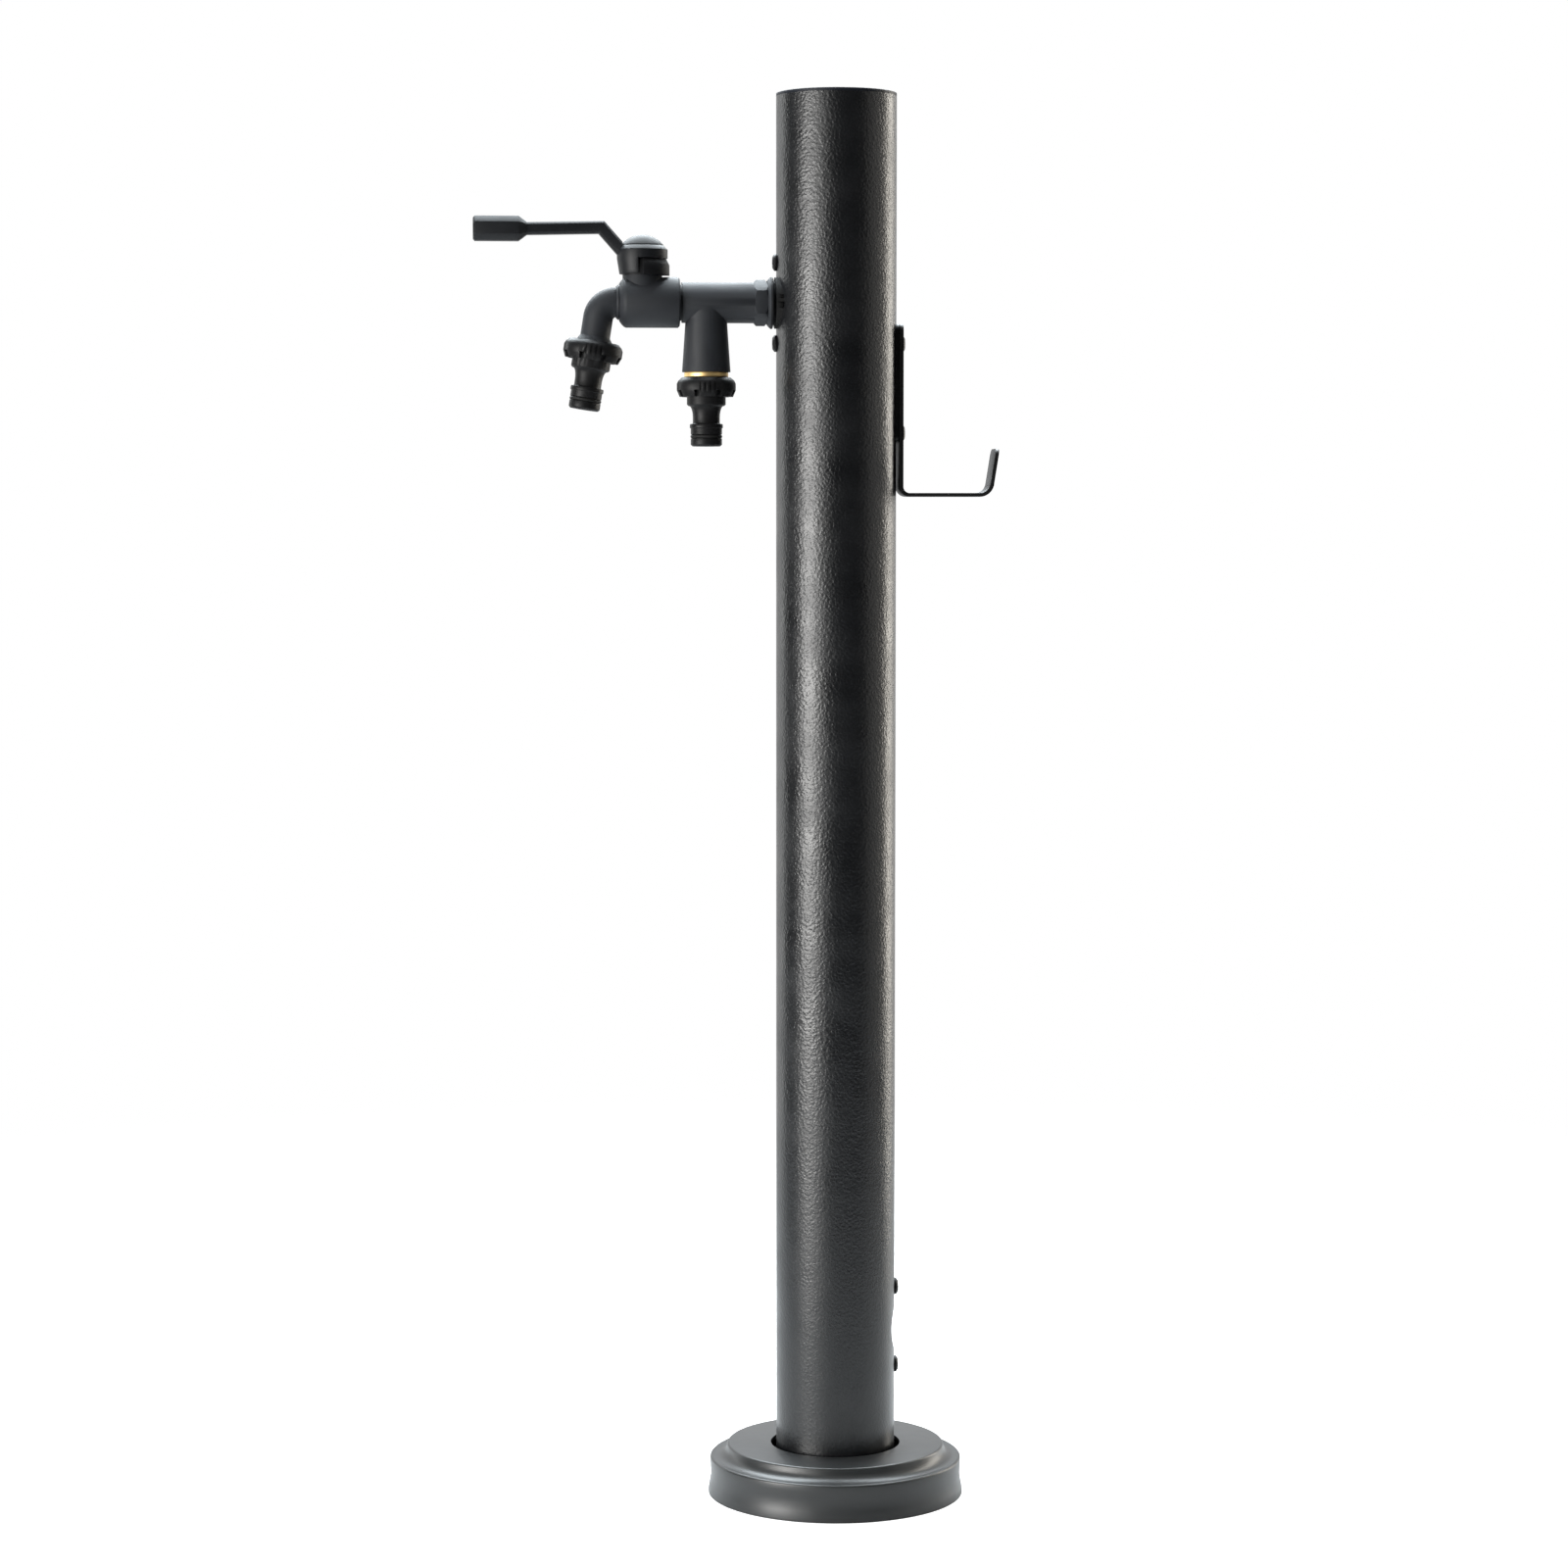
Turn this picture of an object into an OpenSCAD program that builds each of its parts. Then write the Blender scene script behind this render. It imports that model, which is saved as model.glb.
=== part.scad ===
// Garden hydrant: a round post on a floor plate, with a lever ball tap, a T-branch and two hose
// connectors on the -X side, and a hose hook and the water inlet on the +X side.
// Millimetres, +Z up, origin on the ground at the post's axis.

/* [Post] */
// Outer diameter of the post tube
post_d = 80; // [76:1:100]
// Wall thickness of the post tube
post_wall = 2; // [1.5:0.1:3]
// Height of the whole hydrant above the ground
post_h = 940; // [900:5:1100]
// Thickness of the top cap's flange
cap_t = 2; // [1:0.5:5]
// Depth of the top cap's skirt inside the tube
cap_skirt_h = 14; // [8:1:20]
// Wall thickness of the top cap's skirt
cap_skirt_wall = 2; // [1.5:0.1:3]

/* [Floor plate] */
// Diameter of the floor plate
plate_d = 150; // [140:1:200]
// Thickness of the floor plate
plate_t = 5; // [4:0.5:8]
// Distance from the plate's rim to the middle of an anchor hole
anchor_edge = 16; // [9:0.5:17]
// Diameter of one anchor hole
anchor_hole_d = 9; // [7:0.5:12]
// Number of anchor holes
anchor_count = 4; // [3:1:6]
// Diameter of the drain hole in the middle
drain_hole_d = 12; // [6:1:20]
// Leg length of the weld between plate and post
weld_leg = 3; // [2:0.5:4]

/* [Base cover] */
// Distance from the plate's rim to the outside of the cover's foot
cover_overhang = 11.2; // [10:0.1:20]
// Step in from the foot to the waist of the upright band
cover_waist_step = 1.7; // [0.5:0.1:3]
// Step in from the foot to the bead on top of the band
cover_bead_step = 1.2; // [0.5:0.1:1.6]
// Height of the cover
cover_h = 33.5; // [31.5:0.5:45]
// Height of the upright band, up to the bead's edge
cover_band_h = 23.5; // [20:0.5:25]
// Step in from the foot to the bottom of the groove behind the bead
cover_groove_step = 4.7; // [4.2:0.1:7]
// Step in from the foot to the flat top face
cover_top_step = 12.8; // [11:0.1:26]
// Wall thickness of the cover
cover_wall = 2.5; // [1.5:0.1:3]
// Gap between the cover and the post
cover_gap = 3.75; // [3.5:0.05:6]
// Number of ribs that centre the cover on the plate
cover_rib_count = 8; // [4:1:16]

/* [Tap] */
// Drop from the post's top to the tap's axis
tap_drop = 138; // [90:1:240]
// Distance of the wall plate screws from the tap's or inlet's axis
plate_screw_pitch = 26.7; // [25.5:0.1:30]
// Outer diameter of the saddle gasket
gasket_d = 34; // [32:0.2:36]
// Thinnest place of the saddle gasket
gasket_t = 1.2; // [0.8:0.1:2]
// Diameter of the loose flange ring over its rim
ring_d = 34.4; // [33:0.2:37]
// Diameter of the loose flange ring behind its rim
ring_neck_d = 29; // [28:0.2:31]
// Thickness of the loose flange ring's rim
ring_rim_t = 1.5; // [0.8:0.1:1.8]
// Thickness of the loose flange ring
ring_t = 3; // [2:0.5:5]
// Diameter of the tee's flared collar at the flange ring
collar_d = 33; // [32:0.2:36]
// Diameter of the tee's collar at the hexagon
collar_end_d = 29.4; // [27:0.2:31]
// Thickness of the tee's collar
collar_t = 2.1; // [1.5:0.1:4]
// Width of the hexagon across its flats
hex_af = 26.5; // [24:0.5:28]
// Length of the hexagon
hex_len = 9; // [6:0.5:12]
// Diameter of the tee's pipe
pipe_d = 26.8; // [24:0.2:28]
// Length of the tee's pipe
pipe_len = 49.2; // [46:0.2:70]
// Distance from the hexagon to the branch's axis
branch_x = 31.4; // [28:0.2:32.5]
// Diameter of the branch at its foot
branch_foot_d = 32.2; // [31.5:0.2:36]
// Diameter of the branch where it would meet the tap's axis
branch_top_d = 26; // [22:0.2:26.6]
// Drop from the tap's axis to the branch's foot
branch_drop = 45.7; // [36:0.1:60]
// Diameter of the water way
water_d = 14; // [10:0.5:15]
// Outer diameter of the outlet and inlet threads
thread_d = 26.4; // [26:0.1:27]
// Diameter of the brass ring that shows below the branch
brass_ring_d = 29.2; // [28.2:0.2:31]
// Height of the brass ring that shows below the branch
brass_ring_h = 3.6; // [2:0.1:6]

/* [Ball valve] */
// Diameter of the ball chamber
body_d = 33.4; // [32:0.2:36]
// Length of the ball chamber's straight part
body_len = 35.4; // [35.2:0.2:44]
// Length of the shoulder behind the ball chamber
body_cone_len = 6.6; // [5:0.1:8]
// Diameter at the shoulder's end
body_cone_d = 21; // [20.2:0.2:24]
// Distance from the tee's end to the stem's axis
stem_x = 24.5; // [22:0.1:24.9]
// Diameter of the ball
ball_d = 20; // [18:0.1:20.6]
// Diameter of the bore in the ball
ball_bore_d = 12.5; // [10:0.5:13]
// Diameter of the stem
stem_d = 10; // [8:0.1:11]
// Width of the stem's square
stem_square = 7; // [5.5:0.1:7.4]
// Diameter of the boss that carries the bonnet
boss_d = 26.2; // [23:0.2:26.4]
// Diameter of the bonnet's neck
neck_d = 17.6; // [17.4:0.2:22]
// Height of the bonnet's neck above its flange
neck_h = 10.3; // [10:0.1:11]
// Radius of the stop sector's outer face
stop_r = 18; // [16.5:0.1:19]

/* [Lever] */
// Diameter of the lever's hub
hub_d = 33.6; // [33:0.2:38]
// Height of the hub's full ring
hub_ring_h = 8.4; // [8:0.1:12]
// Height of the hub's skirt below that ring
skirt_h = 10.2; // [7:0.1:10.4]
// Wall thickness of the skirt
skirt_wall = 3.4; // [2.5:0.1:3.6]
// Step in from the hub to the skirt's lower edge
skirt_taper = 1.6; // [0:0.1:1.8]
// Height of the domed cap
dome_h = 7.3; // [6.4:0.1:10]
// Diameter of the domed cap
dome_d = 28; // [24:0.2:28.2]
// Distance from the stem's axis to the lever's tip
lever_len = 111.6; // [80:0.2:140]
// Thickness of the lever's arm
arm_t = 8; // [6:0.1:9]
// Width of the lever's arm
arm_w = 12; // [8:0.5:16]
// Rise of the arm above the hub's top
arm_rise = 11.8; // [8:0.1:20]
// Slope of the arm's crank above level, in degrees
crank_angle = 48.5; // [35:0.5:60]
// Length of the lever's grip
grip_len = 30; // [20:0.5:45]
// Height of the lever's grip
grip_h = 16; // [12:0.5:20]
// Width of the lever's grip
grip_w = 20; // [17:0.5:26]

/* [Spout] */
// Outer diameter of the spout's tube
spout_d = 19.8; // [18.6:0.2:20]
// Radius of the spout's bend at the tube's axis
spout_bend_r = 12; // [11:0.2:20]
// Lean of the spout's outlet away from plumb, in degrees
spout_lean = 9; // [0:1:20]
// Straight length of the spout above its nut
spout_reach = 15.8; // [10:0.2:30]

/* [Hose connectors] */
// Diameter of the nut's grip ring
nut_d = 39.2; // [36:0.2:44]
// Height of the nut's grip ring
nut_ring_h = 8.5; // [7.6:0.1:9]
// Height of the nut down to the ends of its teeth
nut_h = 12.8; // [12:0.1:15]
// Number of teeth under the grip ring
nut_teeth = 8; // [6:1:12]
// Diameter of the nut's lower collar
nut_collar_d = 25.8; // [25.2:0.1:28]
// Height of the nut's lower collar
nut_collar_h = 8; // [5:0.1:10]
// Diameter of the nipple's shank in the nut
nipple_shank_d = 22.8; // [22.4:0.1:23.4]
// Diameter of the nipple's neck where it is thinnest
nipple_neck_d = 18; // [16.8:0.1:20]
// Length over which the shank narrows to the neck
nipple_flare_len = 7.6; // [4:0.1:9]
// Visible length of the nipple's neck
nipple_neck_len = 11.8; // [8:0.1:16]
// Diameter of the nipple's locking ring
lock_d = 22; // [21.4:0.1:22.4]
// Height of the nipple's locking ring
lock_h = 2.9; // [2:0.1:4]
// Diameter of the nipple's tip
tip_d = 20.8; // [18.8:0.1:21.2]
// Length of the nipple's tip
tip_len = 12; // [10:0.1:16]
// Diameter of the nipple's bore
nipple_bore_d = 11; // [8:0.5:12]
// Thickness of the O-ring on the tip
tip_ring_t = 2.6; // [2:0.1:3]

/* [Hook] */
// Drop from the post's top to the hook's upper end
hook_drop = 152; // [90:1:200]
// Height of the hook from the middle of its bottom bar to its upper end
hook_h = 113; // [98:1:200]
// Width of the hook's strip
hook_w = 25; // [18:0.5:30]
// Thickness of the hook's strip
hook_t = 2.5; // [2:0.1:4]
// Reach of the hook's bottom bar from its upright to its turned-up end
hook_reach = 61; // [40:1:100]
// Length of the turned-up end
hook_end_len = 23.6; // [10:0.2:40]
// Lean of the turned-up end away from plumb, in degrees
hook_lean = 9; // [0:1:25]
// Bend radius next to the post, at the strip's middle
hook_inner_bend_r = 5.5; // [4:0.5:12]
// Bend radius at the turned-up end, at the strip's middle
hook_outer_bend_r = 8.5; // [5:0.5:15]
// Thinnest place of the hook's backing pad
pad_t = 1.25; // [0.8:0.05:3]
// Length of the hook's backing pad
pad_len = 78; // [75:1:90]
// Distance of the hook's upper screw below the strip's end
hook_screw_drop = 12.8; // [9:0.1:14]
// Distance between the hook's two screws
hook_screw_pitch = 59; // [50:0.5:60]

/* [Screws] */
// Diameter of the screws' thread
screw_d = 6; // [5:0.5:6]
// Diameter of the screws' heads
head_d = 11.2; // [10:0.2:12.6]
// Height of the screws' heads
head_h = 2.6; // [2.2:0.1:3.3]
// Length of the screws under the head
screw_len = 14; // [12:0.5:18]

/* [Inlet] */
// Height of the inlet's axis above the ground
inlet_z = 113; // [100:1:300]
// Diameter of the hole in the post at the inlet
inlet_hole_d = 32; // [30:0.5:38]
// Diameter of the inlet's female thread
inlet_thread_d = 24.1; // [22:0.1:26]
// Depth of the inlet's female thread
inlet_thread_len = 16; // [12:0.5:17]
// Outer diameter of the riser pipe
riser_d = 20; // [19:0.5:22]
// Wall thickness of the riser pipe
riser_wall = 2; // [1.5:0.1:2.5]

/* [Hidden] */
$fn = 72;
fine_count = 288;

// Shared clearances and one overrun for every cut
fit = 0.1;
running_fit = 0.08;
hole_fit = 0.3;
overrun = 2;
// Depth to which one stretch of a piece runs into the next, and how much slimmer it is there
seam = 0.1;
seam_step = 0.02;

// Post
post_r = post_d / 2;
tube_r = post_r - post_wall;
tube_top = post_h - cap_t;
tap_z = post_h - tap_drop;
hook_top_z = post_h - hook_drop;
hook_bar_z = hook_top_z - hook_h;
tap_hole_gap = 1;
tap_hole_d = thread_d + 2 * tap_hole_gap;
cap_lip = 0.6;
cap_lip_h = 1.2;
cap_lip_count = 3;

anchor_circle_d = plate_d - 2 * anchor_edge;

// Base cover
cover_foot_d = plate_d + 2 * cover_overhang;
cover_waist_d = cover_foot_d - 2 * cover_waist_step;
cover_bead_d = cover_foot_d - 2 * cover_bead_step;
cover_groove_d = cover_foot_d - 2 * cover_groove_step;
cover_top_d = cover_foot_d - 2 * cover_top_step;
cover_hole_r = post_r + cover_gap;
cover_bead_r = 1.6;
cover_edge_r = 1.5;
cover_foot_h = 2;
cover_rib_t = 2;
cover_rib_gap = 0.3;
bead_drop_share = 0.7;
cover_groove_z = cover_band_h + cover_bead_r * bead_drop_share;
cove_w = (cover_groove_d - cover_top_d) / 2;
cove_h = cover_h - cover_edge_r - cover_groove_z;

// Distances from the post's axis along the tap
ring_start = post_r + gasket_t;
collar_start = ring_start + ring_t;
hex_start = collar_start + collar_t;
pipe_start = hex_start + hex_len;
branch_at = pipe_start + branch_x;
body_start = pipe_start + pipe_len;
stem_at = body_start + stem_x;
cone_start = body_start + body_len;
bend_start = cone_start + body_cone_len;

rim_edge = 0.3;
collar_rim_t = 0.5;
hex_edge_h = 1.8;
hex_face_step = 0.2;
relief_w = 1.6;
relief_depth = 1.5;

// Wall plate elbows inside the post
socket_wall = 3.6;
socket_depth = 15;
thread_play = 0.5;
outlet_socket = 12;
elbow_wall = 5.5;
elbow_d = water_d + 2 * elbow_wall;
elbow_leg = 22;
elbow_rim_h = 2;
elbow_rim_d = riser_d + 2 * elbow_rim_h;
barb_len = 15;
barb_bore_d = 11;
ear_d = 16;
ear_t = 7;
sleeve_wall = 1.6;
sleeve_len = 12;
sleeve_gap = 2;

// Ball valve, heights above the tap's axis
ball_r = ball_d / 2;
seat_lip = 1;
seat_len = 4.5;
chamber_r = ball_r + seat_lip;
body_edge = 1;
shoulder_shares = [0.2, 0.4];
shoulder_steps = [0.6, 1.8];
cone_shares = [0.67, 0.79];
cone_steps = [2, 0.8, 1.2];
slot_w = 4.2;
slot_depth = 3.5;
stem_hole_d = stem_d + 2 * running_fit;
stem_flange_d = 14;
stem_flange_h = 1.8;
pocket_web = 1.4;
pocket_floor = chamber_r + pocket_web;
boss_rise = 0.9;
boss_top = body_d / 2 + boss_rise;
bonnet_thread_d = 16;
bonnet_flange_h = 1.6;
neck_base = boss_top + bonnet_flange_h;
neck_top = neck_base + neck_h;
stop_gap = 1;
stop_drop = 1.2;
stop_h = neck_h - stop_drop;
stop_face_r = 14.4;
stop_recess = 10;
stop_edge_w = 2;
stop_edge_h = 4;
stem_ring_t = 0.8;
stem_groove_h = 2 * stem_ring_t;
stem_ring_heights = [for (i = [1, 2]) neck_base + i * neck_h / 4 - stem_ring_t];
tang_share = 0.8;

// Lever, heights above the tap's axis
hub_gap = 0.5;
hub_lap = 0.7;
hub_base = neck_top - hub_lap;
web_base = neck_top + hub_gap;
hub_top = hub_base + hub_ring_h;
skirt_r = hub_d / 2 - skirt_wall;
cap_recess_h = 1.2;
web_top = hub_top - cap_recess_h;
cap_seat = 2;
cap_recess_d = dome_d - 2 * cap_seat;
dome_edge_h = 0.5;
hub_edge = 2.6;
lever_screw_d = 5;
lever_head_d = 9;
lever_head_h = 3;
lever_screw_len = 12;
arm_top = hub_top + arm_rise + arm_t / 2;
arm_z = hub_top + arm_rise;
arm_root = hub_d / 2 - arm_t / 2;
arm_root_z = hub_base + hub_ring_h / 2;
arm_bend = arm_root + (arm_z - arm_root_z) / tan(crank_angle);
arm_edge = 1.4;
grip_edge = 4;
grip_taper = 5.5;
grip_drop = 1;
grip_bevel = 1.2;

// Sectors round the stem, in degrees from the lever towards +Y
skirt_from = -78;
skirt_to = 85;
lever_turn = 90;
stop_from = skirt_to + lever_turn;
stop_to = 360 + skirt_from;

// Spout
spout_spigot_d = 17;
spout_spigot_len = 6;
spout_bore_d = 12;
spout_inlet_d = 13;
spout_flare_h = 3.2;
spout_rim_d = 24;
spout_rim_h = 2;

// Hose connectors, drops below the nut's top
thread_drop = 5.9;
washer_t = 2;
flange_drop = thread_drop + washer_t;
nut_step = 1.4;
nut_web = 1;
nut_floor = nut_ring_h + nut_step;
flange_t = nut_floor - flange_drop - fit;
collar_end = nut_floor + nut_web + nut_collar_h;
neck_end = collar_end + nipple_neck_len;
lock_end = neck_end + lock_h;
tip_end = lock_end + tip_len;
tip_ring_share = 0.45;
tip_ring_drop = lock_end + tip_len * tip_ring_share;
nut_bore_d = thread_d + 2 * fit;
nut_hole_d = nipple_shank_d + 2 * fit;
nut_edge_w = 3.3;
nut_edge_h = 4.2;
nut_edge_shares = [0.3, 0.5];
tooth_depth = 4.5;
tooth_taper = 1.8;
rib_w = 1.3;
rib_depth = 0.6;
rib_groups = 4;
ribs_per_group = 4;
rib_step = 9.5;
nut_gap_share = 0.1;
tip_ring_out = 0.3;
tip_ring_groove = tip_ring_t - tip_ring_out;
collar_edge = 1;
lock_step = 0.3;
lock_edge = 0.8;
tip_edge = 1.2;

// Hook, distances from the post's axis
strip_start = post_r + pad_t;
strip_mid = strip_start + hook_t / 2;
strip_end = strip_start + hook_t;
pad_inset = 1.5;
pad_w = hook_w - 2 * pad_inset;
pad_corner = 4;
hook_nut_af = 10;
hook_nut_t = 4.5;
hook_screw_len = strip_end - tube_r + hook_nut_t;
hook_nut_seat = tube_r - sqrt(pow(tube_r, 2) - pow(hook_nut_af / cos(30) / 2, 2));
hook_head_share = 0.8;
strip_corner_share = 0.2;
socket_af = 4;
socket_deep = 1.6;
pan_top_share = 0.7;

// Local +Z runs along the tap, away from the post; local +X is up
module along_tap(distance) {
    translate([-distance, 0, tap_z]) rotate([0, -90, 0]) children();
}

// Local +Z runs out of the inlet, away from the post
module along_inlet(distance) {
    translate([distance, 0, inlet_z]) rotate([0, 90, 0]) children();
}

// Local origin on the stem's axis at the tap's height
module at_stem() {
    translate([-stem_at, 0, tap_z]) children();
}

// Local origin at the top of a connector's nut; the connector hangs along local -Z
module at_branch_nut() {
    translate([-branch_at, 0, tap_z - branch_drop - brass_ring_h]) children();
}

// Local origin at the centre of the spout's bend; the outlet points along local -Z
module at_spout_bend() {
    translate([-bend_start, 0, tap_z - spout_bend_r]) rotate([0, spout_lean, 0]) children();
}

module at_spout_nut() {
    at_spout_bend() translate([-spout_bend_r, 0, -spout_reach]) children();
}

module ring(outer_d, inner_d, height) {
    difference() {
        cylinder(d = outer_d, h = height);
        translate([0, 0, -overrun]) cylinder(d = inner_d, h = height + 2 * overrun);
    }
}

// Disc with both its rims cut off at 45 degrees
module chamfered_disc(diameter, height, edge) {
    cylinder(d1 = diameter - 2 * edge, d2 = diameter, h = edge);
    translate([0, 0, edge]) cylinder(d = diameter, h = height - 2 * edge);
    translate([0, 0, height - edge]) cylinder(d1 = diameter, d2 = diameter - 2 * edge, h = edge);
}

// Hexagon with its corners turned off at both ends
module hexagon_nut() {
    corner_r = hex_af / cos(30) / 2;
    intersection() {
        cylinder(r = corner_r, h = hex_len, $fn = 6);
        rotate_extrude() polygon([
            [0, 0], [hex_af / 2 + hex_face_step, 0], [corner_r + fit, hex_edge_h],
            [corner_r + fit, hex_len - hex_edge_h], [hex_af / 2 + hex_face_step, hex_len], [0, hex_len]]);
    }
}

// Outline swept round Z; angles run from -X towards +Y, seen from above clockwise
module sector(from_angle, to_angle) {
    rotate([0, 0, 180 - to_angle]) rotate_extrude(angle = to_angle - from_angle) children();
}

module ring_sector(outer_r, inner_r, height, from_angle, to_angle) {
    sector(from_angle, to_angle) translate([inner_r, 0]) square([outer_r - inner_r, height]);
}

// Pan head on the plane z = 0 with its thread below and a hexagon socket
module pan_screw(thread, head, head_height, length) {
    difference() {
        union() {
            translate([0, 0, -length]) cylinder(d = thread, h = length + head_height / 2);
            cylinder(d = head, h = head_height / 2);
            translate([0, 0, head_height / 2])
                cylinder(d1 = head, d2 = head * pan_top_share, h = head_height / 2);
        }
        translate([0, 0, head_height - socket_deep])
            cylinder(d = socket_af / cos(30), h = socket_deep + overrun, $fn = 6);
    }
}

module post_tube() {
    color("#2b2b2c") difference() {
        translate([0, 0, plate_t]) cylinder(d = post_d, h = tube_top - plate_t);
        cylinder(r = tube_r, h = tube_top + overrun);
        along_tap(0) cylinder(d = tap_hole_d, h = post_d);
        along_inlet(0) cylinder(d = inlet_hole_d, h = post_d);
        for (side = [-1, 1]) {
            along_tap(0) translate([side * plate_screw_pitch, 0, 0])
                cylinder(d = screw_d + hole_fit, h = post_d);
            along_inlet(0) translate([side * plate_screw_pitch, 0, 0])
                cylinder(d = screw_d + hole_fit, h = post_d);
        }
        at_hook_screws() translate([0, 0, -post_r]) cylinder(d = screw_d + hole_fit, h = post_d);
    }
}

module top_cap() {
    color("#1d1d1e") {
        translate([0, 0, tube_top]) cylinder(d = post_d, h = cap_t);
        translate([0, 0, tube_top - cap_skirt_h])
            ring(2 * (tube_r - cap_lip), 2 * (tube_r - cap_lip - cap_skirt_wall), cap_skirt_h);
        for (i = [1 : cap_lip_count])
            translate([0, 0, tube_top - i * cap_skirt_h / (cap_lip_count + 1)])
                ring(2 * (tube_r - fit), 2 * (tube_r - cap_lip - cap_skirt_wall / 2), cap_lip_h);
    }
}

module base_plate() {
    color("#4a4b4d") {
        difference() {
            cylinder(d = plate_d, h = plate_t);
            translate([0, 0, -overrun]) cylinder(d = drain_hole_d, h = plate_t + 2 * overrun);
            for (i = [0 : anchor_count - 1])
                rotate([0, 0, 45 + i * 360 / anchor_count])
                    translate([anchor_circle_d / 2, 0, -overrun])
                        cylinder(d = anchor_hole_d, h = plate_t + 2 * overrun);
        }
        translate([0, 0, plate_t])
            rotate_extrude()
                polygon([[post_r, 0], [post_r + weld_leg, 0], [post_r, weld_leg]]);
    }
}

// Outline of the cover's outside, from its foot to the hole round the post, set in by a wall
function cover_outline(inset) = concat(
    [[cover_foot_d / 2 - inset, 0],
     [cover_foot_d / 2 - inset, cover_foot_h],
     [cover_waist_d / 2 - inset, cover_band_h / 2]],
    [for (a = [0 : 30 : 120])
        [cover_bead_d / 2 - inset - cover_bead_r * (1 - cos(a)),
         cover_band_h - inset + cover_bead_r * sin(a)]],
    [for (a = [0 : 18 : 90])
        [cover_groove_d / 2 - inset - cove_w * sin(a), cover_groove_z - inset + cove_h * (1 - cos(a))]],
    [for (a = [30 : 30 : 90])
        [cover_top_d / 2 - inset - cover_edge_r * (1 - cos(a)),
         cover_h - inset - cover_edge_r * (1 - sin(a))]],
    [[cover_hole_r, cover_h - inset]]);

module base_cover() {
    inside = cover_outline(cover_wall);
    color("#56595c") {
        rotate_extrude()
            polygon(concat(cover_outline(0), [for (i = [len(inside) - 1 : -1 : 0]) inside[i]]));
        for (i = [0 : cover_rib_count - 1])
            rotate([0, 0, (i + 1 / 2) * 360 / cover_rib_count])
                translate([plate_d / 2 + cover_rib_gap, -cover_rib_t / 2, 0])
                    cube([cover_waist_d / 2 - cover_wall / 2 - plate_d / 2 - cover_rib_gap,
                          cover_rib_t, cover_band_h - 2 * cover_wall]);
    }
}

// Brass elbow behind the post's wall: local +Z points out through the wall, the leg runs along
// local -X, which is down for the tap and up for the inlet
module wallplate_solid(mouth_d, mouth_len) {
    difference() {
        union() {
            intersection() {
                union() {
                    translate([0, 0, tube_r - ear_t]) linear_extrude(height = ear_t) {
                        square([2 * plate_screw_pitch, ear_d], center = true);
                        for (side = [-1, 1]) translate([side * plate_screw_pitch, 0]) circle(d = ear_d);
                    }
                    translate([0, 0, tube_r - socket_depth - socket_wall])
                        cylinder(d = mouth_d + 2 * socket_wall, h = socket_depth + socket_wall);
                }
                rotate([0, 90, 0]) translate([0, 0, -post_d])
                    cylinder(r = tube_r - fit, h = 2 * post_d);
            }
            cylinder(d = elbow_d, h = tube_r - socket_depth - socket_wall / 2);
            sphere(d = elbow_d);
            rotate([0, -90, 0]) cylinder(d = elbow_d, h = elbow_leg - elbow_rim_h);
            rotate([0, -90, 0]) translate([0, 0, elbow_leg - elbow_rim_h])
                cylinder(d = elbow_rim_d, h = elbow_rim_h);
            rotate([0, -90, 0]) cylinder(d = riser_d - 2 * riser_wall - 2 * fit, h = elbow_leg + barb_len);
        }
        translate([0, 0, tube_r - mouth_len]) cylinder(d = mouth_d, h = mouth_len + overrun);
        cylinder(d = water_d, h = tube_r);
        rotate([0, -90, 0]) cylinder(d = barb_bore_d, h = elbow_leg + barb_len + overrun);
        for (side = [-1, 1])
            translate([side * plate_screw_pitch, 0, tube_r - ear_t - overrun])
                cylinder(d = screw_d + 2 * fit, h = ear_t + 2 * overrun);
    }
}

module tap_wallplate() {
    color("#b08d4a") along_tap(0) wallplate_solid(thread_d + 2 * fit, socket_depth);
}

module inlet_wallplate() {
    color("#b08d4a") along_inlet(0) wallplate_solid(inlet_thread_d, inlet_thread_len);
}

module riser_pipe() {
    bottom = inlet_z + elbow_leg + fit;
    top = tap_z - elbow_leg - fit;
    color("#d9d9d4") translate([0, 0, bottom]) ring(riser_d, riser_d - 2 * riser_wall, top - bottom);
}

module crimp_sleeves() {
    color("#a9adb0") for (low = [inlet_z + elbow_leg + sleeve_gap, tap_z - elbow_leg - sleeve_gap - sleeve_len])
        translate([0, 0, low]) ring(riser_d + 2 * (sleeve_wall + fit), riser_d + 2 * fit, sleeve_len);
}

module tap_screws() {
    color("#1b1b1c") along_tap(post_r) for (side = [-1, 1])
        translate([side * plate_screw_pitch, 0, 0]) pan_screw(screw_d, head_d, head_h, screw_len);
}

module inlet_screws() {
    color("#1b1b1c") along_inlet(post_r) for (side = [-1, 1])
        translate([side * plate_screw_pitch, 0, 0]) pan_screw(screw_d, head_d, head_h, screw_len);
}

module tap_gasket() {
    color("#101010") difference() {
        along_tap(post_r - gasket_d / 2) ring(gasket_d, thread_d + 2 * hole_fit, gasket_d / 2 + gasket_t);
        translate([0, 0, tap_z - gasket_d]) cylinder(r = post_r, h = 2 * gasket_d, $fn = fine_count);
    }
}

module tap_ring() {
    color("#2e2e30") along_tap(ring_start) difference() {
        union() {
            cylinder(d = ring_neck_d, h = ring_t);
            translate([0, 0, ring_t - ring_rim_t]) chamfered_disc(ring_d, ring_rim_t, rim_edge);
        }
        translate([0, 0, -overrun]) cylinder(d = thread_d + 2 * fit, h = ring_t + 2 * overrun);
    }
}

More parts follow.
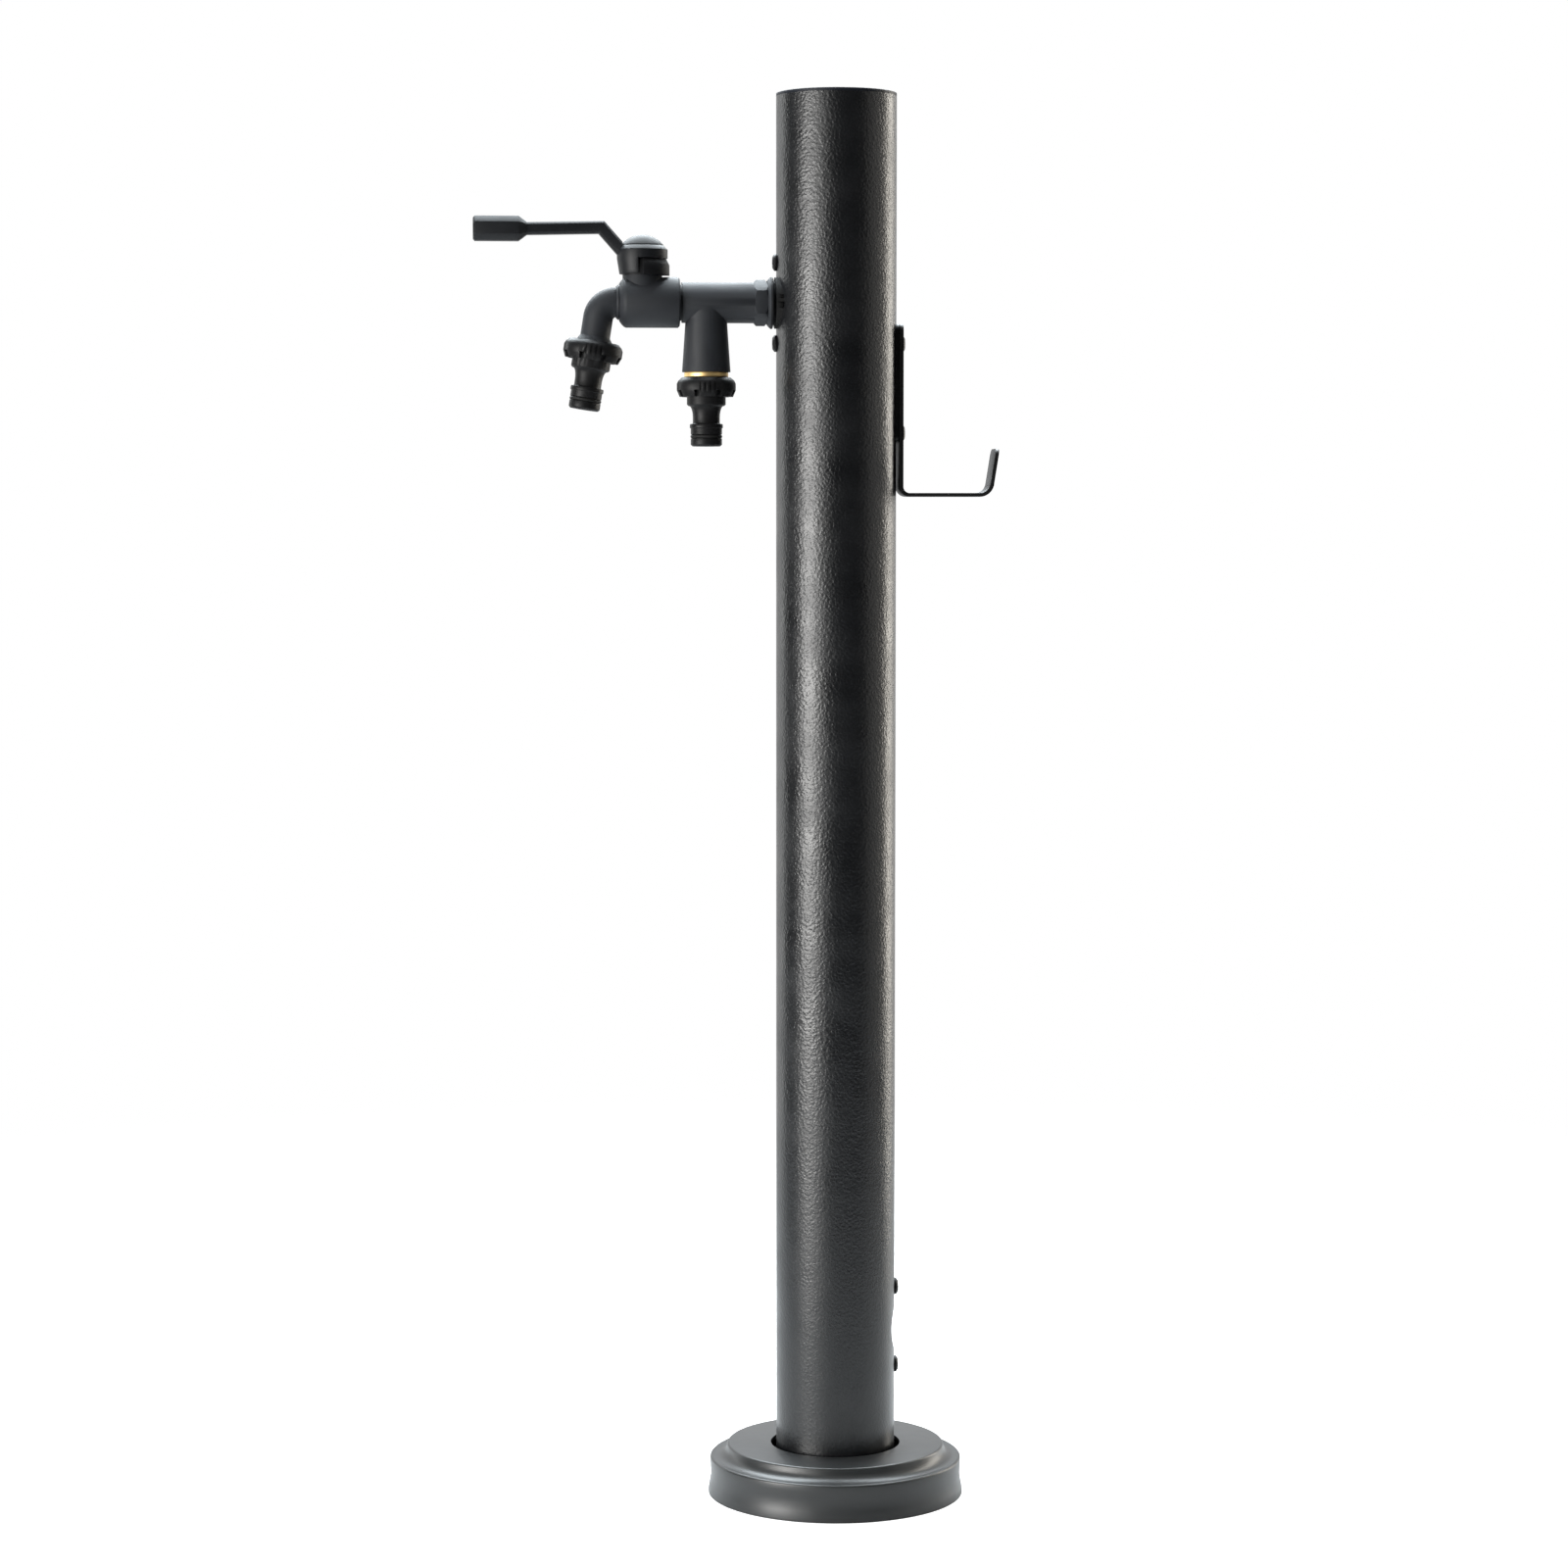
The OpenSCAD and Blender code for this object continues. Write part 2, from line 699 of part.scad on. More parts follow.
module tee_body() {
    stub_start = tube_r - socket_depth + thread_play;
    spigot = stem_x - ball_r - seat_lip;
    color("#2e2e30") difference() {
        union() {
            along_tap(stub_start) cylinder(d = thread_d, h = collar_start - stub_start);
            along_tap(collar_start) cylinder(d = collar_d, h = collar_rim_t);
            along_tap(collar_start + collar_rim_t)
                cylinder(d1 = collar_d, d2 = collar_end_d, h = collar_t - collar_rim_t);
            along_tap(hex_start) hexagon_nut();
            along_tap(pipe_start) cylinder(d = pipe_d, h = pipe_len - relief_w);
            along_tap(pipe_start) cylinder(d = pipe_d - 2 * relief_depth, h = pipe_len);
            along_tap(body_start) cylinder(r = chamber_r - fit, h = spigot);
            translate([-branch_at, 0, tap_z - branch_drop])
                cylinder(d1 = branch_foot_d, d2 = branch_top_d, h = branch_drop);
        }
        along_tap(stub_start - overrun) cylinder(d = water_d, h = body_start + spigot - stub_start + 2 * overrun);
        translate([-branch_at, 0, tap_z - branch_drop - overrun])
            cylinder(d = water_d, h = branch_drop + overrun);
        translate([-branch_at, 0, tap_z - branch_drop - overrun])
            cylinder(d = thread_d - 2 * fit, h = outlet_socket + overrun);
    }
}

// Threaded brass insert in the branch's foot; its ring shows above the nut
module branch_outlet() {
    color("#c79a3f") at_branch_nut() difference() {
        union() {
            translate([0, 0, brass_ring_h]) cylinder(d = thread_d - 4 * fit, h = outlet_socket - thread_play);
            cylinder(d = brass_ring_d, h = brass_ring_h);
            translate([0, 0, -thread_drop]) cylinder(d = thread_d, h = thread_drop);
        }
        translate([0, 0, -thread_drop - overrun]) cylinder(d = water_d, h = post_d);
    }
}

module valve_body() {
    color("#333437") difference() {
        union() {
            along_tap(body_start) rotate_extrude() polygon([
                [0, 0], [body_d / 2 - body_edge, 0], [body_d / 2, body_edge], [body_d / 2, body_len],
                [body_d / 2 - shoulder_steps[0], body_len + body_cone_len * shoulder_shares[0]],
                [body_d / 2 - shoulder_steps[1], body_len + body_cone_len * shoulder_shares[1]],
                [body_cone_d / 2 + cone_steps[0], body_len + body_cone_len * cone_shares[0]],
                [body_cone_d / 2 + cone_steps[1], body_len + body_cone_len * cone_shares[0]],
                [body_cone_d / 2 + cone_steps[1], body_len + body_cone_len * cone_shares[1]],
                [body_cone_d / 2 + cone_steps[2], body_len + body_cone_len * cone_shares[1]],
                [body_cone_d / 2, body_len + body_cone_len], [0, body_len + body_cone_len]]);
            at_stem() cylinder(d = boss_d, h = boss_top);
        }
        along_tap(body_start - overrun)
            cylinder(r = chamber_r, h = stem_x + ball_r + seat_lip + overrun);
        along_tap(body_start) cylinder(d = spout_spigot_d + 2 * fit, h = body_len + body_cone_len + overrun);
        at_stem() cylinder(d = stem_hole_d, h = boss_top + overrun);
        at_stem() translate([0, 0, pocket_floor])
            cylinder(d = bonnet_thread_d + 2 * fit, h = boss_top);
    }
}

module seat_rings() {
    color("#efefec") difference() {
        for (side = [-1, 1])
            along_tap(stem_at + side * (ball_r + seat_lip - seat_len / 2) - seat_len / 2)
                ring(2 * (chamber_r - fit), ball_bore_d, seat_len);
        at_stem() sphere(r = ball_r + running_fit);
    }
}

module ball() {
    color("#d5d7d9") difference() {
        at_stem() sphere(r = ball_r);
        along_tap(stem_at - ball_d) cylinder(d = ball_bore_d, h = 2 * ball_d);
        at_stem() translate([-slot_w / 2, -ball_d, ball_r - slot_depth]) cube([slot_w, 2 * ball_d, ball_d]);
    }
}

module stem() {
    tang = slot_w - 2 * fit;
    flange_low = pocket_floor + fit;
    shaft_top = web_base - fit;
    color("#c2a25c") at_stem() difference() {
        union() {
            translate([-tang / 2, -stem_d * tang_share / 2, ball_r - slot_depth + fit])
                cube([tang, stem_d * tang_share, flange_low - ball_r + slot_depth]);
            translate([0, 0, ball_r + fit]) cylinder(d = stem_d, h = shaft_top - ball_r - fit);
            translate([0, 0, flange_low]) cylinder(d = stem_flange_d, h = stem_flange_h);
            translate([-stem_square / 2, -stem_square / 2, shaft_top - overrun])
                cube([stem_square, stem_square, web_top - fit - shaft_top + overrun]);
        }
        for (z = stem_ring_heights)
            translate([0, 0, z - stem_groove_h / 2])
                ring(stem_d + 2 * overrun, stem_d - 2 * stem_ring_t, stem_groove_h);
        translate([0, 0, web_top - lever_screw_len - fit])
            cylinder(d = lever_screw_d + 2 * fit, h = lever_screw_len + overrun);
    }
}

module stem_o_rings() {
    color("#141414") at_stem() for (z = stem_ring_heights)
        translate([0, 0, z]) rotate_extrude()
            translate([(stem_d - stem_ring_t) / 2, 0]) circle(d = stem_ring_t);
}

// Stop for the skirt: full radius with a sloped rim, and a slimmer end where the skirt rests when open
module lever_stop() {
    inside = neck_d / 2 - overrun;
    height = bonnet_flange_h + stop_h;
    low = stop_from + stop_gap;
    high = stop_to - stop_gap;
    sector(low, high - stop_recess)
        polygon([[inside, 0], [stop_r, 0], [stop_r, height - stop_edge_h],
                 [stop_r - stop_edge_w, height], [inside, height]]);
    ring_sector(stop_face_r, inside, height, high - 2 * stop_recess, high);
}

module bonnet() {
    spigot = boss_top - pocket_floor - stem_flange_h - 2 * fit;
    color("#262628") at_stem() difference() {
        union() {
            translate([0, 0, boss_top - spigot]) cylinder(d = bonnet_thread_d, h = spigot);
            translate([0, 0, boss_top]) cylinder(d = boss_d, h = bonnet_flange_h);
            translate([0, 0, neck_base]) cylinder(d = neck_d, h = neck_h);
            translate([0, 0, boss_top]) lever_stop();
        }
        translate([0, 0, pocket_floor]) cylinder(d = stem_hole_d, h = neck_top);
    }
}

// Eight points round a bar's section on the lever, with its corners cut off and its top tilted
function bar_section(x, z, tilt, width, height, edge) = [
    for (corner = [[1, 1], [-1, 1], [-1, -1], [1, -1]], step = [0, 1])
        let (across = corner[0] * corner[1] > 0 ? step : 1 - step,
             up = corner[1] * (height / 2 - edge * (1 - across)))
        [x + up * sin(tilt), corner[0] * (width / 2 - edge * across), z + up * cos(tilt)]];

// Solid through a row of such sections
module loft(sections) {
    count = len(sections[0]);
    last = len(sections) - 1;
    polyhedron(
        points = [for (section = sections) each section],
        faces = concat(
            [[for (j = [count - 1 : -1 : 0]) j], [for (j = [0 : count - 1]) last * count + j]],
            [for (i = [0 : last - 1], j = [0 : count - 1], near = [true, false])
                let (a = i * count + j, b = i * count + (j + 1) % count)
                near ? [a, b, a + count] : [a + count, b, b + count]]));
}

// Cranked arm that swells into the grip
module lever_arm() {
    grip_z = arm_z - grip_drop;
    loft([
        bar_section(-arm_root, arm_root_z, crank_angle, arm_w, arm_t, arm_edge),
        bar_section(-arm_bend, arm_z, crank_angle / 2, arm_w, arm_t / cos(crank_angle / 2), arm_edge),
        bar_section(grip_len + grip_taper - lever_len, grip_z, 0, arm_w, arm_t, arm_edge),
        bar_section(grip_len - lever_len, grip_z, 0, grip_w, grip_h, grip_edge),
        bar_section(grip_bevel - lever_len, grip_z, 0, grip_w, grip_h, grip_edge),
        bar_section(-lever_len, grip_z, 0, grip_w - 2 * grip_bevel, grip_h - 2 * grip_bevel, grip_edge)]);
}

module lever_handle() {
    color("#232326") at_stem() {
        difference() {
            union() {
                translate([0, 0, hub_base - skirt_h])
                    cylinder(d1 = hub_d - 2 * skirt_taper, d2 = hub_d, h = skirt_h - seam);
                translate([0, 0, hub_base - seam]) cylinder(d = hub_d, h = hub_ring_h - hub_edge + seam);
                translate([0, 0, hub_top - hub_edge])
                    cylinder(d1 = hub_d, d2 = hub_d - 2 * hub_edge, h = hub_edge);
                lever_arm();
            }
            translate([0, 0, hub_base - skirt_h - overrun])
                ring_sector(hub_d / 2 + overrun, skirt_r - overrun, skirt_h + overrun,
                            skirt_to, 360 + skirt_from);
            translate([0, 0, hub_base - skirt_h]) cylinder(r = skirt_r, h = web_base - hub_base + skirt_h);
            translate([-stem_square / 2 - fit, -stem_square / 2 - fit, hub_base])
                cube([stem_square + 2 * fit, stem_square + 2 * fit, hub_ring_h + overrun]);
            translate([0, 0, web_top]) cylinder(d = cap_recess_d, h = arm_top);
            translate([0, 0, hub_top]) cylinder(d = dome_d + 2 * fit, h = dome_h);
        }
    }
}

// Shallow dome with a rounded edge, hollow over the screw's head
module lever_cap() {
    crown_r = (pow(dome_d / 2, 2) + pow(dome_h - dome_edge_h, 2)) / (2 * (dome_h - dome_edge_h));
    color("#2b2b2e") at_stem() difference() {
        union() {
            translate([0, 0, hub_top]) cylinder(d = dome_d, h = dome_edge_h);
            translate([0, 0, hub_top + dome_edge_h]) intersection() {
                cylinder(d = dome_d, h = dome_h);
                translate([0, 0, dome_h - dome_edge_h - crown_r]) sphere(r = crown_r);
            }
            translate([0, 0, web_top]) cylinder(d = cap_recess_d - 2 * fit, h = cap_recess_h);
        }
        translate([0, 0, web_top - overrun])
            cylinder(d = lever_head_d + 2 * hole_fit, h = lever_head_h + hole_fit + overrun);
    }
}

module lever_screw() {
    color("#b9bcbf") at_stem() translate([0, 0, web_top])
        pan_screw(lever_screw_d, lever_head_d, lever_head_h, lever_screw_len - fit);
}

module spout_bend(diameter) {
    at_spout_bend() rotate([90, 0, 180])
        rotate_extrude(angle = 90 - spout_lean) translate([spout_bend_r, 0]) circle(d = diameter);
}

module spout_elbow() {
    color("#2e2e31") difference() {
        union() {
            along_tap(bend_start - spout_spigot_len) cylinder(d = spout_spigot_d, h = spout_spigot_len + seam);
            spout_bend(spout_d);
            at_spout_nut() cylinder(d = spout_d, h = spout_reach);
            at_spout_nut() cylinder(d1 = spout_rim_d, d2 = spout_d, h = spout_flare_h);
            at_spout_nut() translate([0, 0, -spout_rim_h])
                cylinder(d1 = thread_d, d2 = spout_rim_d, h = spout_rim_h);
            at_spout_nut() translate([0, 0, -thread_drop])
                cylinder(d = thread_d, h = thread_drop - spout_rim_h);
        }
        along_tap(bend_start - spout_spigot_len - overrun)
            cylinder(d = spout_inlet_d, h = spout_spigot_len + overrun + seam);
        spout_bend(spout_bore_d);
        at_spout_nut() translate([0, 0, -thread_drop - overrun])
            cylinder(d = spout_bore_d, h = spout_reach + thread_drop + overrun);
    }
}

// Hanging hose connector nut: grip ring with groups of ribs, teeth below it and a narrow collar
module connector_nut() {
    difference() {
        union() {
            rotate_extrude() polygon([
                [0, 0], [nut_d / 2 - nut_edge_w, 0],
                [nut_d / 2 - nut_edge_w * nut_edge_shares[0], -nut_edge_h * nut_edge_shares[1]],
                [nut_d / 2, -nut_edge_h], [nut_d / 2, -nut_ring_h], [0, -nut_ring_h]]);
            translate([0, 0, -nut_h]) cylinder(d1 = nut_d - 2 * tooth_taper, d2 = nut_d, h = nut_h - nut_ring_h);
            translate([0, 0, -collar_end + collar_edge])
                cylinder(d = nut_collar_d, h = collar_end - collar_edge);
            translate([0, 0, -collar_end])
                cylinder(d1 = nut_collar_d - 2 * collar_edge, d2 = nut_collar_d, h = collar_edge);
        }
        translate([0, 0, -nut_floor]) cylinder(d = nut_bore_d, h = nut_floor + overrun);
        translate([0, 0, -collar_end - overrun]) cylinder(d = nut_hole_d, h = collar_end + overrun);
        translate([0, 0, -nut_h - overrun]) ring(nut_d - 2 * tooth_depth, nut_collar_d, nut_h - nut_floor - nut_web + overrun);
        for (i = [0 : nut_teeth - 1]) rotate([0, 0, (i + 1 / 2) * 360 / nut_teeth])
            translate([nut_d / 2 - tooth_depth, -nut_gap_share * nut_d / 2, -nut_h - overrun])
                cube([nut_d, nut_gap_share * nut_d, nut_h - nut_ring_h + overrun]);
        for (i = [0 : rib_groups - 1], k = [0 : ribs_per_group - 1])
            rotate([0, 0, i * 360 / rib_groups + (k - (ribs_per_group - 1) / 2) * rib_step])
                translate([nut_d / 2 - rib_depth, -rib_w / 2, -nut_h - overrun])
                    cube([nut_d, rib_w, nut_h + 2 * overrun]);
    }
}

module connector_nipple() {
    difference() {
        union() {
            translate([0, 0, -flange_drop - flange_t]) cylinder(d = nut_bore_d - 4 * fit, h = flange_t);
            rotate_extrude() polygon(concat(
                [[0, -lock_end], [0, -flange_drop - flange_t],
                 [nipple_shank_d / 2, -flange_drop - flange_t]],
                [for (a = [0 : 15 : 75])
                    [nipple_neck_d / 2 + (nipple_shank_d - nipple_neck_d) / 2 * (1 - sin(a)),
                     -collar_end - nipple_flare_len * (1 - cos(a))]],
                [[nipple_neck_d / 2, -collar_end - nipple_flare_len],
                 [nipple_neck_d / 2, -neck_end + lock_edge],
                 [nipple_neck_d / 2 + lock_step, -neck_end],
                 [lock_d / 2 - lock_step, -neck_end], [lock_d / 2, -neck_end - lock_edge],
                 [lock_d / 2, -lock_end + lock_step], [lock_d / 2 - lock_step, -lock_end]]));
            translate([0, 0, -tip_end + tip_edge]) cylinder(d = tip_d, h = tip_len - tip_edge);
            translate([0, 0, -tip_end]) cylinder(d1 = tip_d - 2 * tip_edge, d2 = tip_d, h = tip_edge);
        }
        translate([0, 0, -tip_end - overrun]) cylinder(d = nipple_bore_d, h = tip_end + overrun);
        translate([0, 0, -tip_ring_drop - tip_ring_t / 2])
            ring(tip_d + 2 * overrun, tip_d - 2 * tip_ring_groove, tip_ring_t);
    }
}

module branch_nut() { color("#202022") at_branch_nut() connector_nut(); }

module branch_nipple() { color("#242426") at_branch_nut() connector_nipple(); }

module spout_nut() { color("#202022") at_spout_nut() connector_nut(); }

module spout_nipple() { color("#242426") at_spout_nut() connector_nipple(); }

module connector_washer() {
    translate([0, 0, -flange_drop + fit])
        ring(nut_bore_d - 4 * fit, nipple_bore_d, washer_t - 2 * fit);
}

module connector_washers() {
    color("#151515") {
        at_branch_nut() connector_washer();
        at_spout_nut() connector_washer();
    }
}

module connector_o_ring() {
    thick = tip_ring_t - 2 * fit;
    translate([0, 0, -tip_ring_drop])
        rotate_extrude() translate([(tip_d - thick) / 2 + tip_ring_out - fit, 0]) circle(d = thick);
}

module connector_o_rings() {
    color("#121212") {
        at_branch_nut() connector_o_ring();
        at_spout_nut() connector_o_ring();
    }
}

// Local +Z points out of the hook's strip at each of its two screws, from the strip's outer face
module at_hook_screws() {
    for (drop = [hook_screw_drop, hook_screw_drop + hook_screw_pitch])
        translate([strip_end, 0, hook_top_z - drop]) rotate([0, 90, 0]) children();
}

// Flat strip of the hook, standing on local z = 0
module strip(length, slimmer = 0) {
    thick = hook_t - 2 * slimmer;
    width = hook_w - 2 * slimmer;
    translate([-thick / 2, -width / 2, 0]) cube([thick, width, length]);
}

// Bent stretch of the strip in the XZ plane, with its centre at the local origin
module strip_bend(radius, from_angle, turn) {
    rotate([90, 0, 0]) translate([0, 0, -hook_w / 2]) rotate([0, 0, from_angle])
        rotate_extrude(angle = turn)
            translate([radius - hook_t / 2, 0]) square([hook_t, hook_w]);
}

module hook_strip() {
    upright_low = hook_bar_z + hook_inner_bend_r;
    bar_from = strip_mid + hook_inner_bend_r;
    bar_to = strip_mid + hook_reach - hook_outer_bend_r;
    color("#161617") difference() {
        union() {
            translate([strip_mid, 0, upright_low]) strip(hook_top_z - upright_low);
            translate([bar_from, 0, upright_low]) strip_bend(hook_inner_bend_r, 180, 90);
            translate([bar_from, 0, hook_bar_z]) rotate([0, 90, 0]) strip(bar_to - bar_from);
            translate([bar_to, 0, hook_bar_z + hook_outer_bend_r]) {
                strip_bend(hook_outer_bend_r, 270, 90 - hook_lean);
                rotate([0, hook_lean, 0]) translate([hook_outer_bend_r, 0, -seam])
                    strip(hook_end_len + seam, seam_step);
            }
        }
        at_hook_screws() translate([0, 0, -hook_t - overrun])
            cylinder(d = screw_d + hole_fit, h = hook_t + 2 * overrun);
        translate([strip_start - overrun, 0, hook_top_z - hook_w / 2]) rotate([0, 90, 0])
            strip_corners(hook_t + 2 * overrun);
        translate([bar_to, 0, hook_bar_z + hook_outer_bend_r]) rotate([0, hook_lean, 0])
            translate([hook_outer_bend_r - hook_t, 0, hook_end_len - hook_w / 2]) rotate([0, 90, 0])
                strip_corners(2 * hook_t);
    }
}

// What rounds the strip's end: local -X points to the end
module strip_corners(depth) {
    corner = hook_w * strip_corner_share;
    for (side = [-1, 1])
        translate([-hook_w / 2 + corner, side * (hook_w / 2 - corner), 0]) difference() {
            translate([-corner - overrun, side > 0 ? 0 : -corner - overrun, 0])
                cube([corner + overrun, corner + overrun, depth]);
            translate([0, 0, -overrun]) cylinder(r = corner, h = depth + 2 * overrun);
        }
}

module hook_saddle() {
    color("#1a1a1b") difference() {
        translate([0, -pad_w / 2, hook_top_z - pad_len]) {
            translate([0, pad_corner, 0]) cube([strip_start, pad_w - 2 * pad_corner, pad_len]);
            translate([0, 0, pad_corner]) cube([strip_start, pad_w, pad_len - 2 * pad_corner]);
            for (y = [pad_corner, pad_w - pad_corner], z = [pad_corner, pad_len - pad_corner])
                translate([0, y, z]) rotate([0, 90, 0]) cylinder(r = pad_corner, h = strip_start);
        }
        translate([0, 0, hook_top_z - pad_len - overrun])
            cylinder(r = post_r, h = pad_len + 2 * overrun, $fn = fine_count);
        at_hook_screws() translate([0, 0, -post_r]) cylinder(d = screw_d + hole_fit, h = post_r + overrun);
    }
}

module hook_screws() {
    color("#1b1b1c") at_hook_screws() pan_screw(screw_d, head_d, head_h * hook_head_share, hook_screw_len);
}

// Nuts welded inside the post, one behind each of the hook's screws
module hook_nuts() {
    color("#8d9093") at_hook_screws()
        translate([0, 0, tube_r - strip_end - hook_nut_seat - hook_nut_t]) difference() {
            cylinder(d = hook_nut_af / cos(30), h = hook_nut_t, $fn = 6);
            translate([0, 0, -overrun]) cylinder(d = screw_d + 2 * fit, h = hook_nut_t + 2 * overrun);
        }
}

post_tube();
top_cap();
base_plate();
base_cover();
tap_wallplate();
inlet_wallplate();
riser_pipe();
crimp_sleeves();
tap_screws();
inlet_screws();
tap_gasket();
tap_ring();
tee_body();
branch_outlet();
valve_body();
seat_rings();
ball();
stem();
stem_o_rings();
bonnet();
lever_handle();
lever_cap();
lever_screw();
spout_elbow();
branch_nut();
branch_nipple();
spout_nut();
spout_nipple();
connector_washers();
connector_o_rings();
hook_strip();
hook_saddle();
hook_screws();
hook_nuts();
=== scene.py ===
"""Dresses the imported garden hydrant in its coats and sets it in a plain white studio.

Everything is in metres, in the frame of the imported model: origin on the ground at the post's axis,
+Z up, the tap towards -X, the hose hook and the water inlet towards +X.
"""

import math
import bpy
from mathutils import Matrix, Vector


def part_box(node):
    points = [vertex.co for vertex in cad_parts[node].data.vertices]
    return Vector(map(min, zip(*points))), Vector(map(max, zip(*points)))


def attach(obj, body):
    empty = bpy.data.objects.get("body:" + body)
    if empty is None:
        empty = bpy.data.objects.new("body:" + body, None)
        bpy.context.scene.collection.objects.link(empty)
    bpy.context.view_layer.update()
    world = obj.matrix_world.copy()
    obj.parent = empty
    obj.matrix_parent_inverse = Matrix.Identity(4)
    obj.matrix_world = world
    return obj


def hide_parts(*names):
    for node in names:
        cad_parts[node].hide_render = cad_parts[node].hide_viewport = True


bl_info = {
    "name": "Garden Hydrant",
    "version": (1, 0, 0),
    "blender": (4, 5, 0),
    "location": "View3D > Sidebar > Hydrant",
    "description": "Dresses a garden hydrant in its coats and sets it in a plain studio",
    "category": "Object",
}

import bmesh
import bpy
from bpy.props import FloatProperty, FloatVectorProperty, IntProperty, PointerProperty
from bpy.types import NodeSocket, Operator, Panel, PropertyGroup
from mathutils import Matrix, Vector

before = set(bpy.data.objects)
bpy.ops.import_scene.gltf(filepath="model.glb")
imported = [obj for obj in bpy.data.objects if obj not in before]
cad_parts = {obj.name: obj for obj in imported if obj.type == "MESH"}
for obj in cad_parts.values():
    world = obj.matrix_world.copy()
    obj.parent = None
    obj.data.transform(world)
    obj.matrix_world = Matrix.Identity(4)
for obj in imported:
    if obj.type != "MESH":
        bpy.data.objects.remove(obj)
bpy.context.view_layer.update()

MM = 0.001

# Corners of a CAD mesh closer than this are merged
SEAM = 0.002 * MM
# Faces of a CAD mesh that turn less than this are joined into one, in degrees
FLAT_ANGLE = 0.3
# Edges sharper than this are rounded, in degrees
EDGE_ANGLE = 30.0
LEVER_EDGE_ANGLE = 20.0
EDGE_STEPS = 2
# Edges sharper than this are shaded as edges, in degrees
SHADE_ANGLE = 35.0
COVER_SHADE_ANGLE = 40.0

# The post's wall, and the radii of its holes
POST_WALL = 2 * MM
TAP_HOLE = 14.2 * MM
INLET_HOLE = 16 * MM
SCREW_HOLE = 3.15 * MM
HOLE_STEPS = 64
# From the edge of a screw's head to the axis of its hole
HEAD_REACH = 6 * MM
# Where along X a hole starts and ends
TAP_SIDE = (-0.06, -0.02)
HOOK_SIDE = (0.02, 0.06)

# Roundings of single pieces
CAP_EDGE = 0.5 * MM
PLATE_EDGE = 0.4 * MM
OUTLET_EDGE = 1.0 * MM
PAD_EDGE = 0.2 * MM

# Heights between which the hammered coat gets its full relief, and its share below them
RELIEF_HEIGHTS = (0.04, 0.32)
LOW_RELIEF = 0.35
# Distances from a pebble's middle between which the coat dips
DIP_SPAN = (0.15, 0.65)
# The clouds in a finish's mottling: their noise scale, and the noise values that they spread
CLOUD_SCALE = 38.0
CLOUD_SPAN = (0.3, 0.7)
# Turning marks: their height, their waviness, and the spacing of a band texture at scale 1
TURNED_DEPTH = 0.004 * MM
TURNED_SWAY = 0.6
BAND_SPACING = 0.3

# The floor is a disc of paper. Radii between which it fades out, radii between which it darkens,
# its tones there (a painted pool of light, lighter near the post), and its glow for the camera
FLOOR_RADIUS = 1.8
FLOOR_STEPS = 96
PAPER_FADE = (0.75, 1.7)
PAPER_POOL_SPAN = (0.35, 0.9)
PAPER_POOL_TONES = (0.52, 0.30)
PAPER_GLOW = 0.72

# The room: how far round to +Y the backdrop starts, how far up the ceiling, and how bright it gets
BACKDROP_SPAN = (0.50, 0.75)
CEILING_SPAN = (0.35, 1.0)
CEILING_LEVEL = 0.7

# Each lamp: name, place, target, width, height, the property with its watts, tint
LAMPS = (
    ("Key softbox", (-1.95, -1.15, 0.54), (0, 0, 0.52), 0.96, 1.12, "key_power", (1.0, 0.99, 0.97)),
    ("Key wing", (-1.40, -1.76, 0.80), (0, 0, 0.55), 0.8, 2.1, "wing_power", (1.0, 1.0, 0.97)),
    ("Back panel", (-1.69, 1.41, 0.80), (0, 0, 0.55), 0.5, 2.0, "back_power", (0.98, 1.0, 0.98)),
    ("Warm panel", (1.84, 0.98, 0.85), (0, 0, 0.6), 0.62, 2.0, "rim_power", (1.0, 0.95, 0.86)),
    ("Side panel", (2.10, -0.58, 0.85), (0, 0, 0.6), 1.5, 2.0, "side_power", (1.0, 0.98, 0.94)),
    ("Cool overhead", (-0.1, 0.75, 2.1), (0, 0.05, 0.8), 1.8, 1.9, "top_power", (0.87, 0.95, 1.0)),
)

# The camera's sensor in millimetres, and how far it sees
SENSOR_WIDTH = 36.0
CAMERA_REACH = 50.0

# Spacing of the nodes in the shader editor
COLUMN = 220
ROW = 200


# Sizes, colours and stage


def length(name, text, value):
    return FloatProperty(name=name, description=text, default=value, min=0.0, max=1.0,
                         unit="LENGTH", precision=5)


def colour(name, text, value):
    return FloatVectorProperty(name=name, description=text, default=value, min=0.0, max=1.0,
                               subtype="COLOR", size=3)


def share(name, text, value):
    return FloatProperty(name=name, description=text, default=value, min=0.0, max=1.0,
                         subtype="FACTOR")


def angle(name, text, degrees):
    return FloatProperty(name=name, description=text, default=math.radians(degrees),
                         subtype="ANGLE")


def power(name, text, watts):
    return FloatProperty(name=name, description=text, default=watts, min=0.0, subtype="POWER")


